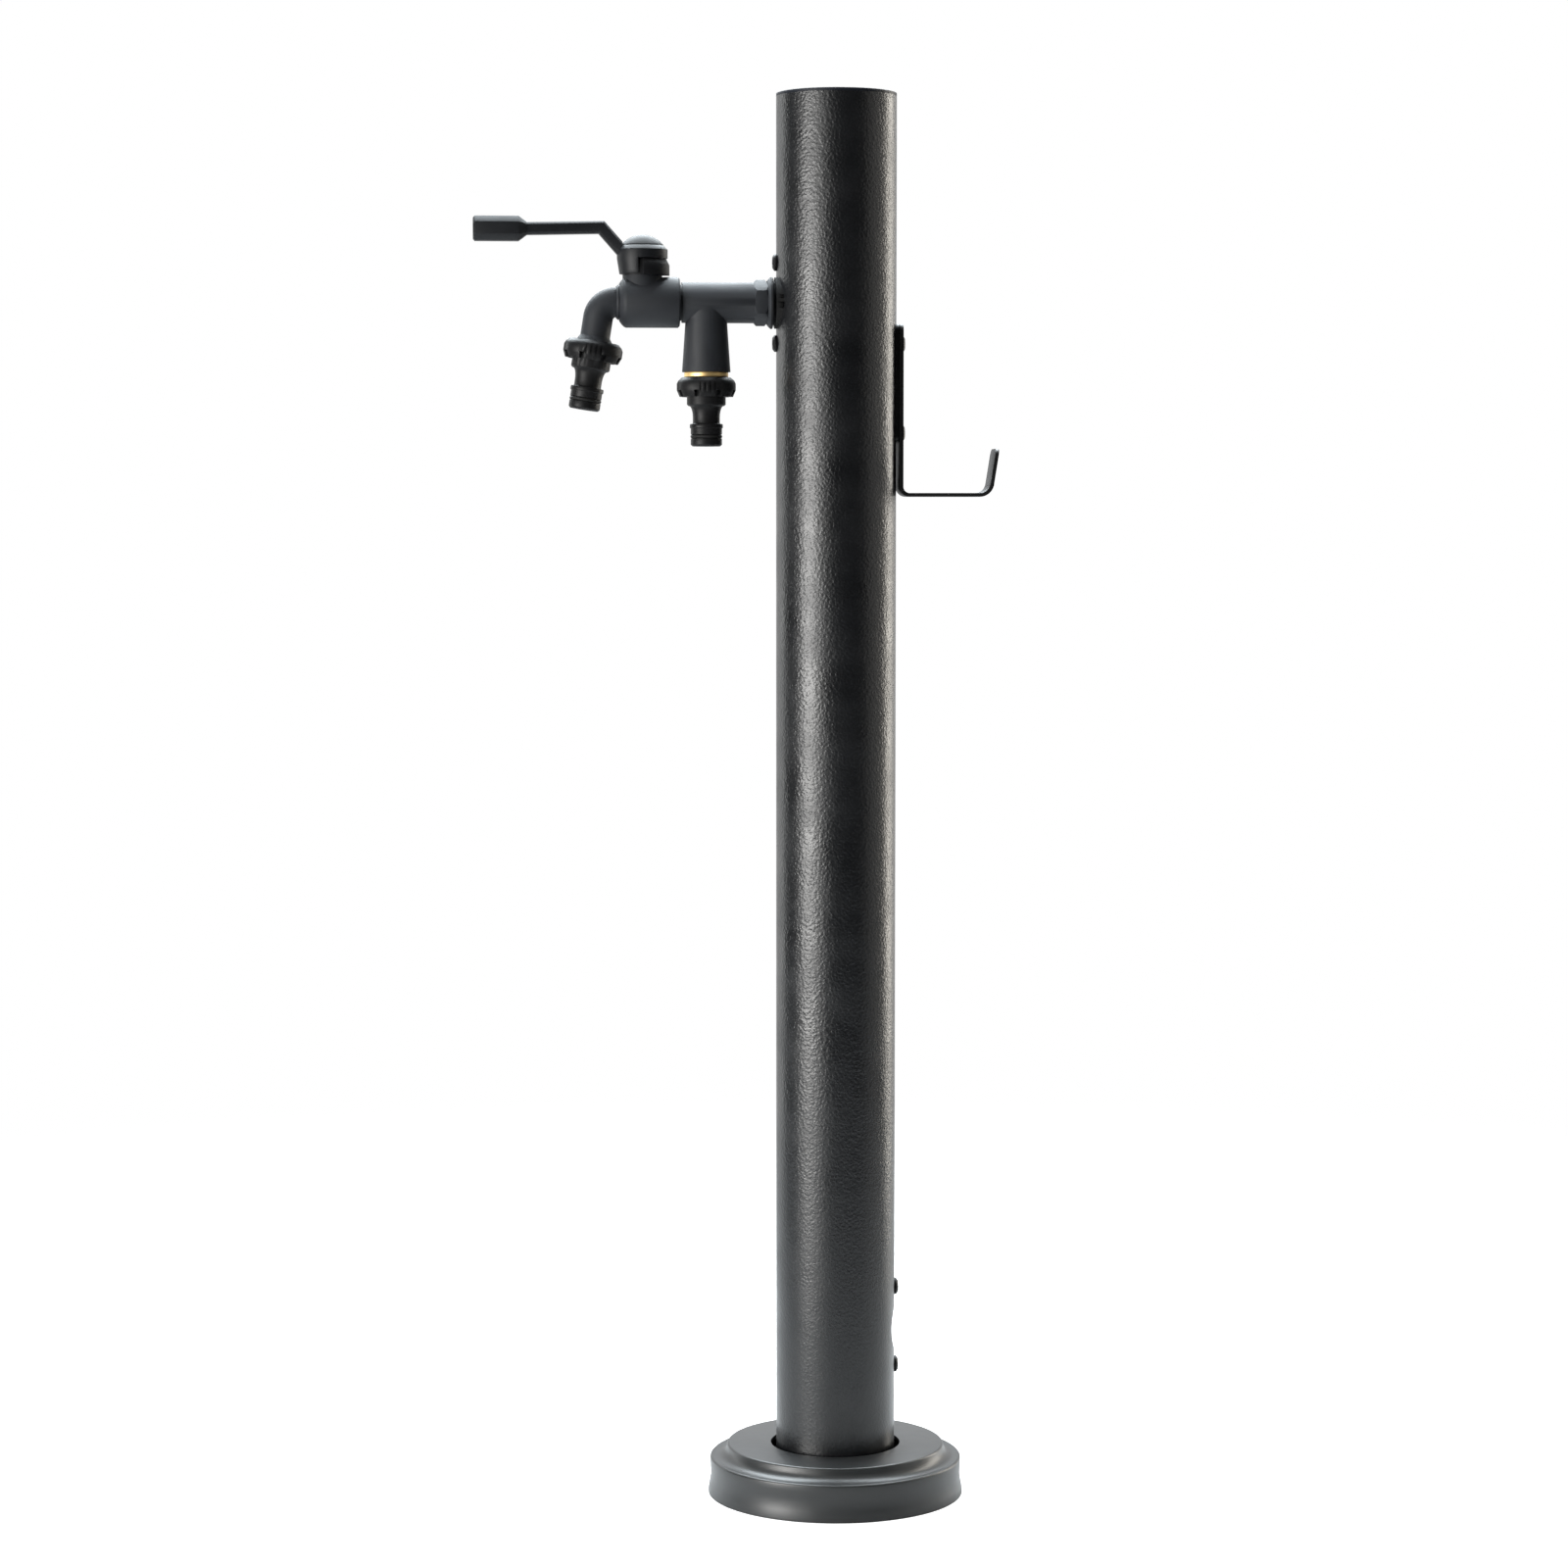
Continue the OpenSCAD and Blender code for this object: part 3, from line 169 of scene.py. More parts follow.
class HydrantSizes(PropertyGroup):
    """Sizes of the finish: rounded edges, grain and facet counts."""

    post_steps: IntProperty(name="Post steps", description="Facets round the post",
                            default=160, min=24, max=360)
    cast_edge: length("Cast edge", "Rounding of the edges of the tap's castings", 0.6 * MM)
    lever_edge: length("Lever edge", "Rounding of the lever's edges", 0.7 * MM)
    moulded_edge: length("Moulded edge", "Rounding of the edges of moulded plastic", 0.35 * MM)
    pressed_edge: length("Pressed edge", "Rounding of the edges of bent strip and screws", 0.3 * MM)
    hammer_size: length("Hammer size", "Width of one pebble in the post's hammered coat", 1.9 * MM)
    hammer_depth: length("Hammer depth", "Height of the pebbles in the post's coat", 0.12 * MM)
    coat_grain: length("Coat grain", "Width of the orange peel in the smooth coats", 0.9 * MM)
    plastic_grain: length("Plastic grain", "Width of the grain in moulded plastic", 0.5 * MM)


class HydrantColours(PropertyGroup):
    """Colours of the finish."""

    post_coat: colour("Post coat", "Hammered powder coat of the post", (0.0042, 0.0046, 0.0055))
    tap_coat: colour("Tap coat", "Satin coat of the tap", (0.0130, 0.0147, 0.0180))
    # The flange, the neck and the dome have the tap's own coat: this darker copy of it is painted
    # shade
    painted_shade_coat: colour("Painted shade coat", "Darker coat of the tap's flange, neck and dome",
                      (0.0035, 0.0037, 0.0045))
    lever_coat: colour("Lever coat", "Satin coat of the lever", (0.0066, 0.0073, 0.0088))
    hook_coat: colour("Hook coat", "Fine coat of the hose hook", (0.004, 0.004, 0.0044))
    screw_coat: colour("Screw coat", "Coat of the screws", (0.004, 0.004, 0.0045))
    cap_plastic: colour("Cap plastic", "Plastic of the post's cap", (0.005, 0.007, 0.012))
    cover_plastic: colour("Cover plastic", "Plastic of the base cover", (0.012, 0.0129, 0.0134))
    connector_plastic: colour("Connector plastic", "Plastic of the hose connectors",
                              (0.006, 0.006, 0.0065))
    rubber: colour("Rubber", "Rubber of the gasket and the seals", (0.006, 0.006, 0.006))
    brass: colour("Brass", "Brass of the branch's insert and the inner fittings",
                  (0.88, 0.62, 0.27))
    zinc: colour("Zinc", "Zinc-plated steel inside the post", (0.60, 0.61, 0.63))
    pipe_plastic: colour("Pipe plastic", "Plastic of the riser pipe", (0.74, 0.74, 0.71))
    ring_plastic: colour("Ring plastic", "Plastic of the rings that the ball sits in",
                         (0.84, 0.84, 0.82))
    chrome: colour("Chrome", "Plated ball of the valve", (0.83, 0.84, 0.86))


class HydrantStage(PropertyGroup):
    """Camera and studio."""

    camera_place: FloatVectorProperty(name="Camera place", description="Where the camera stands",
                                      default=(-0.2545, -2.505, 0.6685), size=3,
                                      subtype="TRANSLATION")
    camera_turn: angle("Camera turn", "Turn of the camera to the right of +Y", 5.01)
    camera_tilt: angle("Camera tilt", "Tilt of the camera below the horizon", 4.247)
    camera_lens: FloatProperty(name="Camera lens",
                               description="Focal length on a sensor 36 mm wide",
                               default=86.35, min=20.0, max=200.0)
    key_power: power("Key power", "Watts of the tall softbox on the left", 64.0)
    wing_power: power("Wing power", "Watts of the panel beside the softbox", 16.0)
    back_power: power("Back power", "Watts of the panel behind on the left", 7.0)
    rim_power: power("Rim power", "Watts of the warm panel behind on the right", 36.0)
    side_power: power("Side power", "Watts of the dim panel on the right", 7.0)
    top_power: power("Top power", "Watts of the cool panel overhead", 175.0)
    room_dark: share("Dark room", "Brightness of the room on the camera's side", 0.035)
    room_pale: share("Pale room", "Brightness of the backdrop's side", 0.95)


def sizes():
    return bpy.context.scene.hydrant_sizes


def colours():
    return bpy.context.scene.hydrant_colours


# Shader nodes


def wire(tree, start, end):
    tree.links.new(start, end)


def add_node(tree, kind, column, row, inputs=None, **settings):
    """A node with its settings and with the values of its unlinked inputs."""
    node = tree.nodes.new(kind)
    node.location = (column * COLUMN, -row * ROW)
    for key, value in settings.items():
        setattr(node, key, value)
    for socket, value in (inputs or {}).items():
        node.inputs[socket].default_value = value
    return node


def calculate(tree, operation, column, row, *terms):
    """A maths node on numbers and on outputs of other nodes; returns its result."""
    node = add_node(tree, "ShaderNodeMath", column, row, operation=operation)
    for socket, term in zip(node.inputs, terms):
        if isinstance(term, NodeSocket):
            wire(tree, term, socket)
        else:
            socket.default_value = term
    return node.outputs[0]


def scale_vector(tree, column, row, vector, factor):
    node = add_node(tree, "ShaderNodeVectorMath", column, row, operation="SCALE")
    wire(tree, vector, node.inputs[0])
    wire(tree, factor, node.inputs["Scale"])
    return node.outputs[0]


def map_range(tree, column, row, value, span, result=(0.0, 1.0), smooth=False):
    """Maps a value from one span to another, evenly or eased in and out; returns the result."""
    node = add_node(tree, "ShaderNodeMapRange", column, row,
                    {"From Min": span[0], "From Max": span[1],
                     "To Min": result[0], "To Max": result[1]},
                    interpolation_type="SMOOTHSTEP" if smooth else "LINEAR")
    wire(tree, value, node.inputs["Value"])
    return node.outputs["Result"]


def new_group(name, inputs, outputs):
    """An empty shader group with its sockets; returns it with its input and output nodes."""
    group = bpy.data.node_groups.new(name, "ShaderNodeTree")
    for title, kind, value in inputs:
        socket = group.interface.new_socket(title, in_out="INPUT", socket_type=kind)
        if value is not None:
            socket.default_value = value
    for title, kind in outputs:
        group.interface.new_socket(title, in_out="OUTPUT", socket_type=kind)
    return group, add_node(group, "NodeGroupInput", 0, 0), add_node(group, "NodeGroupOutput", 8, 0)


def hammered_group():
    """Rounded pebbles of a hammered powder coat, in metres of height."""
    group = bpy.data.node_groups.get("Hammered coat")
    if group:
        return group
    group, start, end = new_group(
        "Hammered coat",
        [("Vector", "NodeSocketVector", None), ("Size", "NodeSocketFloat", 1.9 * MM),
         ("Depth", "NodeSocketFloat", 0.12 * MM)],
        [("Height", "NodeSocketFloat")])
    place, size = start.outputs["Vector"], start.outputs["Size"]
    scale = calculate(group, "DIVIDE", 1, 1, 1.0, size)
    sway = add_node(group, "ShaderNodeTexNoise", 2, 2, {"Detail": 1.0})
    wire(group, place, sway.inputs["Vector"])
    wire(group, scale, sway.inputs["Scale"])
    reach = scale_vector(group, 3, 2, sway.outputs["Color"], size)
    moved = add_node(group, "ShaderNodeVectorMath", 4, 1, operation="ADD")
    wire(group, place, moved.inputs[0])
    wire(group, reach, moved.inputs[1])
    cells = add_node(group, "ShaderNodeTexVoronoi", 5, 1, feature="SMOOTH_F1")
    cells.inputs["Smoothness"].default_value = 0.7
    wire(group, moved.outputs[0], cells.inputs["Vector"])
    wire(group, scale, cells.inputs["Scale"])
    swell = add_node(group, "ShaderNodeTexNoise", 5, 3, {"Detail": 2.0, "Roughness": 0.55})
    wire(group, place, swell.inputs["Vector"])
    wire(group, scale, swell.inputs["Scale"])
    dips = map_range(group, 6, 1, cells.outputs["Distance"], DIP_SPAN)
    mixed = calculate(group, "SUBTRACT", 6, 3, swell.outputs["Fac"], dips)
    height = calculate(group, "MULTIPLY", 7, 2, mixed, start.outputs["Depth"])
    wire(group, height, end.inputs["Height"])
    return group


def grain_group():
    """Fine grain of a sprayed or moulded surface, in metres of height, and its mottled tone."""
    group = bpy.data.node_groups.get("Fine grain")
    if group:
        return group
    group, start, end = new_group(
        "Fine grain",
        [("Vector", "NodeSocketVector", None), ("Size", "NodeSocketFloat", 0.9 * MM),
         ("Depth", "NodeSocketFloat", 0.01 * MM),
         ("Tone", "NodeSocketColor", (0.02, 0.02, 0.02, 1.0)), ("Mottle", "NodeSocketFloat", 0.2)],
        [("Height", "NodeSocketFloat"), ("Color", "NodeSocketColor"),
         ("Mottling", "NodeSocketFloat")])
    place, mottle = start.outputs["Vector"], start.outputs["Mottle"]
    scale = calculate(group, "DIVIDE", 1, 1, 1.0, start.outputs["Size"])
    grain = add_node(group, "ShaderNodeTexNoise", 2, 1, {"Detail": 2.0})
    wire(group, place, grain.inputs["Vector"])
    wire(group, scale, grain.inputs["Scale"])
    height = calculate(group, "MULTIPLY", 3, 1, grain.outputs["Fac"], start.outputs["Depth"])
    wire(group, height, end.inputs["Height"])
    clouds = add_node(group, "ShaderNodeTexNoise", 2, 3, {"Scale": CLOUD_SCALE, "Detail": 4.0})
    wire(group, place, clouds.inputs["Vector"])
    mottling = map_range(group, 3, 3, clouds.outputs["Fac"], CLOUD_SPAN)
    wire(group, mottling, end.inputs["Mottling"])
    level = add_node(group, "ShaderNodeMapRange", 5, 3)
    wire(group, mottling, level.inputs["Value"])
    wire(group, calculate(group, "SUBTRACT", 4, 4, 1.0, mottle), level.inputs["To Min"])
    wire(group, calculate(group, "ADD", 4, 5, 1.0, mottle), level.inputs["To Max"])
    toned = scale_vector(group, 6, 3, start.outputs["Tone"], level.outputs["Result"])
    wire(group, toned, end.inputs["Color"])
    return group


# Materials


def finish_material(name, tone, roughness, size, depth, metal=0.0, specular=0.5, mottle=0.15,
                    rough_spread=0.06, hammer=None, turned=None):
    """A material for one finish: mottled tone, grained normal and uneven gloss.

    size and depth are those of the grain. hammer is the (size, depth) of a hammered coat, which is
    shallower near the ground. turned is the spacing of turning marks along Z.
    """
    material = bpy.data.materials.get(name)
    if material:
        return material
    material = bpy.data.materials.new(name)
    material.use_nodes = True
    tree = material.node_tree
    shader = tree.nodes["Principled BSDF"]
    shader.location = (7 * COLUMN, 0)
    tree.nodes["Material Output"].location = (9 * COLUMN, 0)
    shader.inputs["Metallic"].default_value = metal
    shader.inputs["Specular IOR Level"].default_value = specular
    place = add_node(tree, "ShaderNodeTexCoord", 0, 0).outputs["Object"]
    grain = add_node(tree, "ShaderNodeGroup", 2, 0,
                     {"Size": size, "Depth": depth, "Tone": (*tone, 1.0), "Mottle": mottle},
                     node_tree=grain_group())
    wire(tree, place, grain.inputs["Vector"])
    wire(tree, grain.outputs["Color"], shader.inputs["Base Color"])
    gloss = map_range(tree, 4, 1, grain.outputs["Mottling"], (0.0, 1.0),
                      (roughness - rough_spread, roughness + rough_spread))
    wire(tree, gloss, shader.inputs["Roughness"])
    height = grain.outputs["Height"]
    if hammer:
        pebbles = add_node(tree, "ShaderNodeGroup", 2, 3, {"Size": hammer[0], "Depth": hammer[1]},
                           node_tree=hammered_group())
        wire(tree, place, pebbles.inputs["Vector"])
        split = add_node(tree, "ShaderNodeSeparateXYZ", 2, 5)
        wire(tree, place, split.inputs[0])
        relief = map_range(tree, 3, 5, split.outputs["Z"], RELIEF_HEIGHTS, (LOW_RELIEF, 1.0),
                           smooth=True)
        height = calculate(tree, "MULTIPLY_ADD", 4, 3, pebbles.outputs["Height"], relief, height)
    if turned:
        rings = add_node(tree, "ShaderNodeTexWave", 2, 5,
                         {"Scale": BAND_SPACING / turned, "Distortion": TURNED_SWAY},
                         wave_type="BANDS", bands_direction="Z")
        wire(tree, place, rings.inputs["Vector"])
        height = calculate(tree, "MULTIPLY_ADD", 4, 5, rings.outputs["Fac"], TURNED_DEPTH, height)
    bump = add_node(tree, "ShaderNodeBump", 5, 3, {"Strength": 1.0, "Distance": 1.0})
    wire(tree, height, bump.inputs["Height"])
    wire(tree, bump.outputs["Normal"], shader.inputs["Normal"])
    return material


def post_coat():
    return finish_material("Hammered post coat", colours().post_coat, roughness=0.34,
                           size=0.6 * MM, depth=0.004 * MM,
                           hammer=(sizes().hammer_size, sizes().hammer_depth))


def tap_coat():
    return finish_material("Satin tap coat", colours().tap_coat, roughness=0.62,
                           size=sizes().coat_grain, depth=0.008 * MM, specular=0.30)


# The tap coat darkened and made less glossy, as painted shade on the flange, the neck and the
# lever's dome
def painted_shade_coat():
    return finish_material("Dark tap coat", colours().painted_shade_coat, roughness=0.56,
                           size=sizes().coat_grain, depth=0.008 * MM, specular=0.15)


def lever_coat():
    return finish_material("Satin lever coat", colours().lever_coat, roughness=0.50,
                           size=sizes().coat_grain, depth=0.008 * MM, specular=0.20)


def hook_coat():
    return finish_material("Fine hook coat", colours().hook_coat, roughness=0.50,
                           size=sizes().coat_grain, depth=0.012 * MM, specular=0.25)


def screw_coat():
    return finish_material("Black screw coat", colours().screw_coat, roughness=0.45,
                           size=0.5 * MM, depth=0.004 * MM, specular=0.2)


def cap_plastic():
    return finish_material("Cap plastic", colours().cap_plastic, roughness=0.50,
                           size=sizes().plastic_grain, depth=0.008 * MM, specular=0.2)


def cover_plastic():
    return finish_material("Cover plastic", colours().cover_plastic, roughness=0.38,
                           size=sizes().plastic_grain, depth=0.006 * MM, mottle=0.06,
                           rough_spread=0.03)


def connector_plastic():
    return finish_material("Connector plastic", colours().connector_plastic, roughness=0.46,
                           size=sizes().plastic_grain, depth=0.010 * MM, specular=0.16)


def rubber():
    return finish_material("Seal rubber", colours().rubber, roughness=0.68,
                           size=0.7 * MM, depth=0.010 * MM, specular=0.25)


def brass():
    return finish_material("Turned brass", colours().brass, roughness=0.45, metal=0.8,
                           size=0.8 * MM, depth=0.003 * MM, turned=0.5 * MM)


def zinc():
    return finish_material("Zinc plate", colours().zinc, roughness=0.34, metal=1.0,
                           size=1.0 * MM, depth=0.004 * MM)


def pipe_plastic():
    return finish_material("Pipe plastic", colours().pipe_plastic, roughness=0.45,
                           size=2.0 * MM, depth=0.004 * MM, mottle=0.03)


def ring_plastic():
    return finish_material("Ball ring plastic", colours().ring_plastic, roughness=0.40,
                           size=1.0 * MM, depth=0.003 * MM, mottle=0.02)


def chrome():
    return finish_material("Chrome plate", colours().chrome, roughness=0.10, metal=1.0,
                           size=1.0 * MM, depth=0.001 * MM, mottle=0.02, rough_spread=0.02)


# Meshes


def link(name, data):
    """Puts an object with this data into the scene."""
    thing = bpy.data.objects.new(name, data)
    bpy.context.scene.collection.objects.link(thing)
    return thing


def mesh_from(name, bm):
    """A mesh from a bmesh, which is freed."""
    mesh = bpy.data.meshes.new(name)
    bm.to_mesh(mesh)
    bm.free()
    return mesh


def add_piece(name, bm, material, body, node, shade_angle=SHADE_ANGLE):
    """Turns a bmesh into a piece that rides on a body and stands for a CAD node."""
    mesh = mesh_from(name, bm)
    for face in mesh.polygons:
        face.use_smooth = True
    mesh.set_sharp_from_angle(angle=math.radians(shade_angle))
    mesh.materials.append(material)
    piece = link(name, mesh)
    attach(piece, body)
    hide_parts(node)


def node_copy(node):
    """A merged copy of a CAD node's mesh, with its flat faces joined up."""
    bm = bmesh.new()
    bm.from_mesh(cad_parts[node].data)
    bmesh.ops.remove_doubles(bm, verts=bm.verts, dist=SEAM)
    bmesh.ops.dissolve_limit(bm, angle_limit=math.radians(FLAT_ANGLE), verts=bm.verts,
                             edges=bm.edges)
    return bm


def soften(bm, width, edge_angle):
    """Rounds every edge that is sharper than an angle."""
    limit = math.radians(edge_angle)
    sharp = [e for e in bm.edges if len(e.link_faces) == 2 and e.calc_face_angle() > limit]
    bmesh.ops.bevel(bm, geom=sharp, offset=width, offset_type="OFFSET", segments=EDGE_STEPS,
                    profile=0.5, affect="EDGES", clamp_overlap=True, material=-1)


def dress(name, node, material, body, edge=0.0, edge_angle=EDGE_ANGLE):
    """Replaces a CAD node by a copy with rounded edges."""
    bm = node_copy(node)
    if edge:
        soften(bm, edge, edge_angle)
    add_piece(name, bm, material, body, node)


def coat_nodes(material, *nodes):
    """Gives a finish to CAD nodes that show as they are."""
    for node in nodes:
        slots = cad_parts[node].data.materials
        slots.clear()
        slots.append(material)


def lathe(profile, steps):
    """A bmesh turned round Z from a closed profile of (radius, height)."""
    bm = bmesh.new()
    verts = [bm.verts.new((radius, 0.0, height)) for radius, height in profile]
    edges = [bm.edges.new((verts[i - 1], verts[i])) for i in range(len(verts))]
    bmesh.ops.spin(bm, geom=verts + edges, cent=(0, 0, 0), axis=(0, 0, 1), dvec=(0, 0, 0),
                   angle=2 * math.pi, steps=steps, use_merge=True, use_duplicate=False)
    bmesh.ops.remove_doubles(bm, verts=bm.verts, dist=SEAM)
    bmesh.ops.recalc_face_normals(bm, faces=bm.faces)
    return bm


def in_fixed_order(bm):
    """The same mesh with corners and faces sorted by place, so that every run gives one result."""
    rank = {vert: i for i, vert in enumerate(sorted(bm.verts, key=lambda vert: vert.co[:]))}
    done = bmesh.new()
    verts = [done.verts.new(vert.co) for vert in rank]
    rings = []
    for face in bm.faces:
        ring = [rank[vert] for vert in face.verts]
        start = ring.index(min(ring))
        rings.append(ring[start:] + ring[:start])
    for ring in sorted(rings):
        done.faces.new([verts[i] for i in ring])
    bm.free()
    return done


def cut_holes(bm, holes):
    """Cuts round holes along X; each is (side, height, radius), where side is (x from, x to)."""
    drills = bmesh.new()
    for (low, high), height, radius in holes:
        place = Matrix.Translation(((low + high) / 2, 0, height))
        bmesh.ops.create_cone(drills, cap_ends=True, cap_tris=False, segments=HOLE_STEPS,
                              radius1=radius, radius2=radius, depth=high - low,
                              matrix=place @ Matrix.Rotation(math.pi / 2, 4, "Y"))
    body = link("cut_body", mesh_from("cut_body", bm))
    tool = link("cut_tool", mesh_from("cut_tool", drills))
    cut = body.modifiers.new("Holes", "BOOLEAN")
    cut.operation = "DIFFERENCE"
    cut.solver = "EXACT"
    cut.object = tool
    done = bmesh.new()
    done.from_mesh(body.evaluated_get(bpy.context.evaluated_depsgraph_get()).data)
    for spare in (body, tool):
        mesh = spare.data
        bpy.data.objects.remove(spare)
        bpy.data.meshes.remove(mesh)
    # The cut leaves corners and faces in an order that varies from run to run
    return in_fixed_order(done)


def middle_height(node):
    low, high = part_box(node)
    return (low.z + high.z) / 2


# Operators for the pieces


class HYDRANT_OT_post(Operator):
    """Turn the post with its holes, and dress its cap and floor plate"""

    bl_idname = "hydrant.post"
    bl_label = "Post"

    def execute(self, context):
        low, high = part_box("post_tube")
        outside = high.x
        inside = outside - POST_WALL
        bm = lathe([(outside, low.z), (outside, high.z), (inside, high.z), (inside, low.z)],
                   sizes().post_steps)
        tap = middle_height("tap_ring")
        inlet = middle_height("inlet_screws")
        # The screws stand as far above and below the tap as they do at the inlet
        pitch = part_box("inlet_screws")[1].z - inlet - HEAD_REACH
        hook_low, hook_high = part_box("hook_screws")
        holes = [(TAP_SIDE, tap, TAP_HOLE), (HOOK_SIDE, inlet, INLET_HOLE)]
        holes += [(TAP_SIDE, tap + shift, SCREW_HOLE) for shift in (-pitch, pitch)]
        holes += [(HOOK_SIDE, inlet + shift, SCREW_HOLE) for shift in (-pitch, pitch)]
        holes += [(HOOK_SIDE, height, SCREW_HOLE)
                  for height in (hook_low.z + HEAD_REACH, hook_high.z - HEAD_REACH)]
        add_piece("post", cut_holes(bm, holes), post_coat(), "post", "post_tube")
        dress("post_cap", "top_cap", cap_plastic(), "post", CAP_EDGE)
        dress("floor_plate", "base_plate", post_coat(), "post", PLATE_EDGE)
        return {"FINISHED"}


class HYDRANT_OT_cover(Operator):
    """Dress the loose cover over the floor plate"""

    bl_idname = "hydrant.cover"
    bl_label = "Base cover"

    def execute(self, context):
        add_piece("cover", node_copy("base_cover"), cover_plastic(), "cover",
                  "base_cover", COVER_SHADE_ANGLE)
        return {"FINISHED"}


class HYDRANT_OT_tap(Operator):
    """Dress the tap's castings, its brass insert and its gasket"""

    bl_idname = "hydrant.tap"
    bl_label = "Tap"

    def execute(self, context):
        edge = sizes().cast_edge
        for name, node in (("tee", "tee_body"), ("valve", "valve_body"), ("spout", "spout_elbow")):
            dress(name, node, tap_coat(), "post", edge)
        # The flange and the neck take the tap coat darkened: painted shade
        for name, node in (("flange", "tap_ring"), ("neck", "bonnet")):
            dress(name, node, painted_shade_coat(), "post", edge)
        dress("outlet", "branch_outlet", brass(), "post", OUTLET_EDGE)
        dress("gasket", "tap_gasket", rubber(), "post")
        return {"FINISHED"}


class HYDRANT_OT_lever(Operator):
    """Dress the lever and its domed cap"""

    bl_idname = "hydrant.lever"
    bl_label = "Lever"

    def execute(self, context):
        dress("lever", "lever_handle", lever_coat(), "lever", sizes().lever_edge,
              LEVER_EDGE_ANGLE)
        # The dome takes the tap coat darkened and less glossy: painted shade
        dress("lever_dome", "lever_cap", painted_shade_coat(), "lever", sizes().cast_edge)
        return {"FINISHED"}


class HYDRANT_OT_connectors(Operator):
    """Dress the two hose connectors under the branch and the spout"""

    bl_idname = "hydrant.connectors"
    bl_label = "Hose connectors"

    def execute(self, context):
        for name, node in (("branch_ring", "branch_nut"), ("spout_ring", "spout_nut"),
                           ("branch_tip", "branch_nipple"), ("spout_tip", "spout_nipple")):
            dress(name, node, connector_plastic(), "post",
                  sizes().moulded_edge)
        dress("tip_seals", "connector_o_rings", rubber(), "post")
        return {"FINISHED"}


class HYDRANT_OT_hook(Operator):
    """Dress the hose hook and its backing pad"""

    bl_idname = "hydrant.hook"
    bl_label = "Hose hook"

    def execute(self, context):
        dress("hook", "hook_strip", hook_coat(), "post", sizes().pressed_edge)
        dress("hook_pad", "hook_saddle", hook_coat(), "post", PAD_EDGE)
        return {"FINISHED"}


class HYDRANT_OT_screws(Operator):
    """Dress the screws of the tap, the inlet and the hook"""

    bl_idname = "hydrant.screws"
    bl_label = "Screws"

    def execute(self, context):
        for name, node in (("tap_bolts", "tap_screws"), ("inlet_bolts", "inlet_screws"),
                           ("hook_bolts", "hook_screws")):
            dress(name, node, screw_coat(), "post", sizes().pressed_edge)
        return {"FINISHED"}


class HYDRANT_OT_inside(Operator):
    """Give the pieces inside the post and the valve their finish"""

    bl_idname = "hydrant.inside"
    bl_label = "Inner pieces"

    def execute(self, context):
        coat_nodes(brass(), "tap_wallplate", "inlet_wallplate", "stem")
        coat_nodes(pipe_plastic(), "riser_pipe")
        coat_nodes(zinc(), "crimp_sleeves", "lever_screw", "hook_nuts")
        coat_nodes(ring_plastic(), "seat_rings")
        coat_nodes(chrome(), "ball")
        coat_nodes(rubber(), "stem_o_rings", "connector_washers")
        return {"FINISHED"}


# Studio


def paper_material():
    """White paper that keeps shadows, is painted lighter near the post as a pool of light, and fades
    out towards its rim.
    """
    material = bpy.data.materials.new("White paper")
    material.use_nodes = True
    tree = material.node_tree
    tree.nodes.remove(tree.nodes["Principled BSDF"])
    place = add_node(tree, "ShaderNodeTexCoord", 0, 0)
    reach = add_node(tree, "ShaderNodeVectorMath", 1, 0, operation="LENGTH")
    wire(tree, place.outputs["Object"], reach.inputs[0])
    distance = reach.outputs["Value"]
    fade = map_range(tree, 2, 0, distance, PAPER_FADE, smooth=True)
    paper = add_node(tree, "ShaderNodeBsdfDiffuse", 2, 2)
    # The paper's colour is lighter near the post: a painted pool of light that it bounces onto the
    # hydrant
    tone = map_range(tree, 1, 2, distance, PAPER_POOL_SPAN, PAPER_POOL_TONES, smooth=True)
    wire(tree, tone, paper.inputs["Color"])
    path = add_node(tree, "ShaderNodeLightPath", 0, 3)
    glow = add_node(tree, "ShaderNodeEmission", 2, 3)
    lift = calculate(tree, "MULTIPLY", 1, 3, path.outputs["Is Camera Ray"], PAPER_GLOW)
    wire(tree, lift, glow.inputs["Strength"])
    both = add_node(tree, "ShaderNodeAddShader", 3, 2)
    wire(tree, paper.outputs[0], both.inputs[0])
    wire(tree, glow.outputs[0], both.inputs[1])
    clear = add_node(tree, "ShaderNodeBsdfTransparent", 3, 3)
    mixed = add_node(tree, "ShaderNodeMixShader", 4, 1)
    wire(tree, fade, mixed.inputs["Fac"])
    wire(tree, both.outputs[0], mixed.inputs[1])
    wire(tree, clear.outputs[0], mixed.inputs[2])
    wire(tree, mixed.outputs[0], tree.nodes["Material Output"].inputs["Surface"])
    return material


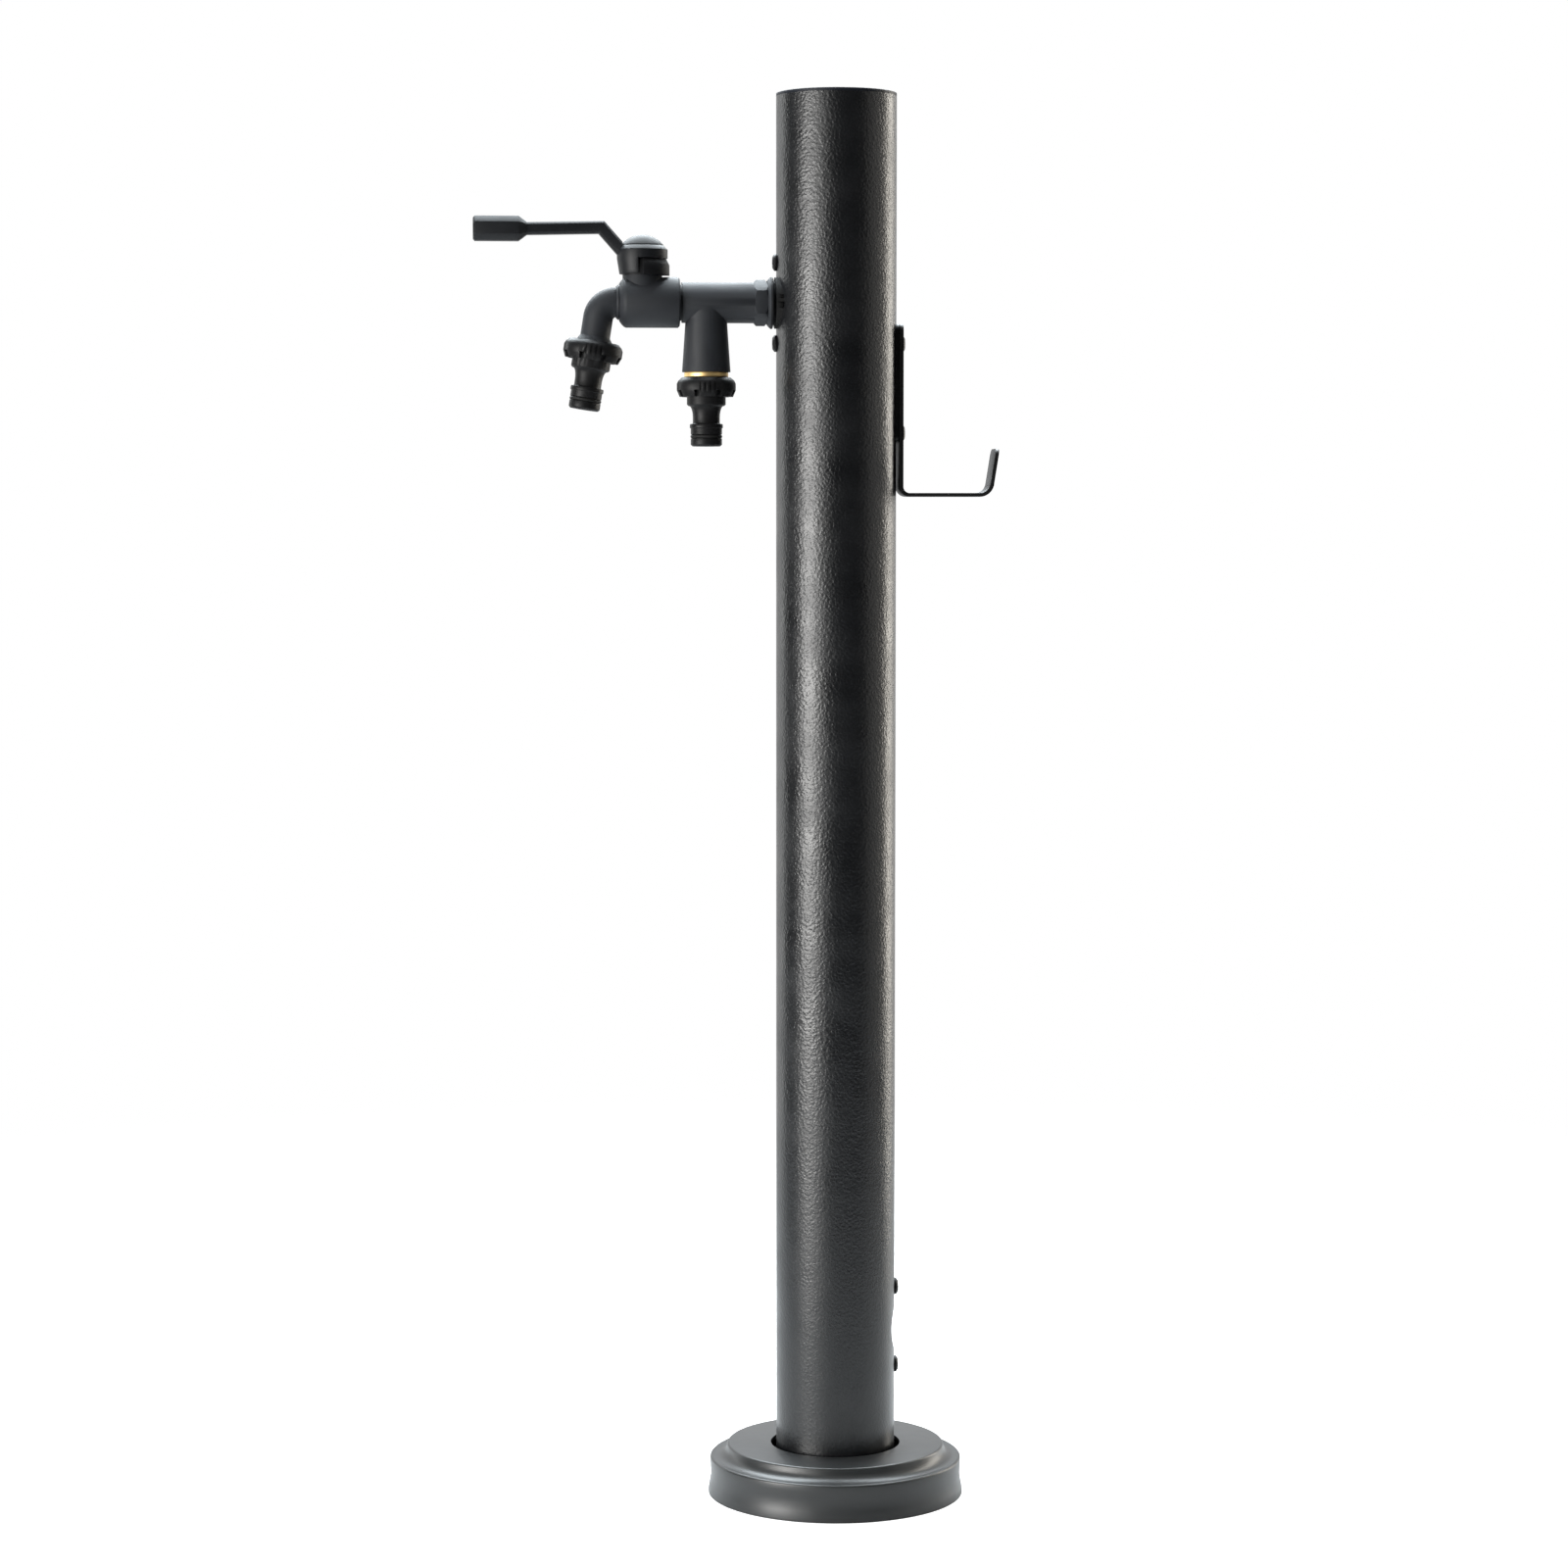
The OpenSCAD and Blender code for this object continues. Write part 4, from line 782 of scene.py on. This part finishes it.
def studio_world(stage):
    """White for the camera; light and reflections see a pale backdrop and a dim camera side."""
    world = bpy.data.worlds.new("Studio")
    world.use_nodes = True
    tree = world.node_tree
    place = add_node(tree, "ShaderNodeTexCoord", 0, 0)
    split = add_node(tree, "ShaderNodeSeparateXYZ", 1, 0)
    wire(tree, place.outputs["Generated"], split.inputs[0])
    backdrop = map_range(tree, 2, 0, split.outputs["Y"], BACKDROP_SPAN,
                         (stage.room_dark, stage.room_pale), smooth=True)
    ceiling = map_range(tree, 2, 2, split.outputs["Z"], CEILING_SPAN, (0.0, CEILING_LEVEL),
                        smooth=True)
    room = tree.nodes["Background"]
    room.location = (4 * COLUMN, 0)
    room.inputs["Color"].default_value = (1.0, 1.0, 1.0, 1.0)
    wire(tree, calculate(tree, "MAXIMUM", 3, 1, backdrop, ceiling), room.inputs["Strength"])
    white = add_node(tree, "ShaderNodeBackground", 4, 2,
                     {"Color": (1.0, 1.0, 1.0, 1.0), "Strength": 1.0})
    path = add_node(tree, "ShaderNodeLightPath", 4, 3)
    mixed = add_node(tree, "ShaderNodeMixShader", 6, 1)
    wire(tree, path.outputs["Is Camera Ray"], mixed.inputs["Fac"])
    wire(tree, room.outputs[0], mixed.inputs[1])
    wire(tree, white.outputs[0], mixed.inputs[2])
    out = tree.nodes["World Output"]
    out.location = (8 * COLUMN, 0)
    wire(tree, mixed.outputs[0], out.inputs["Surface"])
    return world


def add_lamp(name, place, target, width, height, watts, tint):
    lamp = bpy.data.lights.new(name, "AREA")
    lamp.shape = "RECTANGLE"
    lamp.size = width
    lamp.size_y = height
    lamp.energy = watts
    lamp.color = tint
    holder = link(name, lamp)
    holder.location = place
    holder.rotation_euler = (Vector(target) - Vector(place)).to_track_quat("-Z", "Y").to_euler()


def add_camera(stage):
    camera = bpy.data.cameras.new("Camera")
    camera.sensor_width = SENSOR_WIDTH
    camera.lens = stage.camera_lens
    camera.clip_end = CAMERA_REACH
    holder = link("Camera", camera)
    holder.location = stage.camera_place
    holder.rotation_euler = (math.pi / 2 - stage.camera_tilt, 0.0, -stage.camera_turn)
    bpy.context.scene.camera = holder


def add_floor():
    bm = bmesh.new()
    bmesh.ops.create_circle(bm, cap_ends=True, radius=FLOOR_RADIUS, segments=FLOOR_STEPS)
    mesh = mesh_from("Floor", bm)
    mesh.materials.append(paper_material())
    link("Floor", mesh)


class HYDRANT_OT_stage(Operator):
    """Set the camera, the lamps, the floor and the white surroundings"""

    bl_idname = "hydrant.stage"
    bl_label = "Studio"

    def execute(self, context):
        stage = context.scene.hydrant_stage
        add_camera(stage)
        add_floor()
        for name, place, target, width, height, watts, tint in LAMPS:
            add_lamp(name, place, target, width, height, getattr(stage, watts), tint)
        context.scene.world = studio_world(stage)
        context.scene.view_settings.view_transform = "Standard"
        return {"FINISHED"}


# Panel, registration and run


class HYDRANT_PT_panel(Panel):
    """Steps, sizes and colours of the hydrant"""

    bl_idname = "HYDRANT_PT_panel"
    bl_label = "Garden hydrant"
    bl_space_type = "VIEW_3D"
    bl_region_type = "UI"
    bl_category = "Hydrant"

    def draw(self, context):
        for operator in OPERATORS:
            self.layout.operator(operator.bl_idname)
        for title in ("hydrant_sizes", "hydrant_colours", "hydrant_stage"):
            group = getattr(context.scene, title)
            box = self.layout.box()
            for name in group.__annotations__:
                box.prop(group, name)


OPERATORS = (HYDRANT_OT_post, HYDRANT_OT_cover, HYDRANT_OT_tap, HYDRANT_OT_lever,
             HYDRANT_OT_connectors, HYDRANT_OT_hook, HYDRANT_OT_screws, HYDRANT_OT_inside,
             HYDRANT_OT_stage)
CLASSES = (HydrantSizes, HydrantColours, HydrantStage, *OPERATORS, HYDRANT_PT_panel)


def register():
    for cls in CLASSES:
        bpy.utils.register_class(cls)
    bpy.types.Scene.hydrant_sizes = PointerProperty(type=HydrantSizes)
    bpy.types.Scene.hydrant_colours = PointerProperty(type=HydrantColours)
    bpy.types.Scene.hydrant_stage = PointerProperty(type=HydrantStage)


def unregister():
    del bpy.types.Scene.hydrant_stage
    del bpy.types.Scene.hydrant_colours
    del bpy.types.Scene.hydrant_sizes
    for cls in reversed(CLASSES):
        bpy.utils.unregister_class(cls)


def main():
    register()
    bpy.ops.hydrant.post()
    bpy.ops.hydrant.cover()
    bpy.ops.hydrant.tap()
    bpy.ops.hydrant.lever()
    bpy.ops.hydrant.connectors()
    bpy.ops.hydrant.hook()
    bpy.ops.hydrant.screws()
    bpy.ops.hydrant.inside()
    bpy.ops.hydrant.stage()


if __name__ == "__main__":
    main()
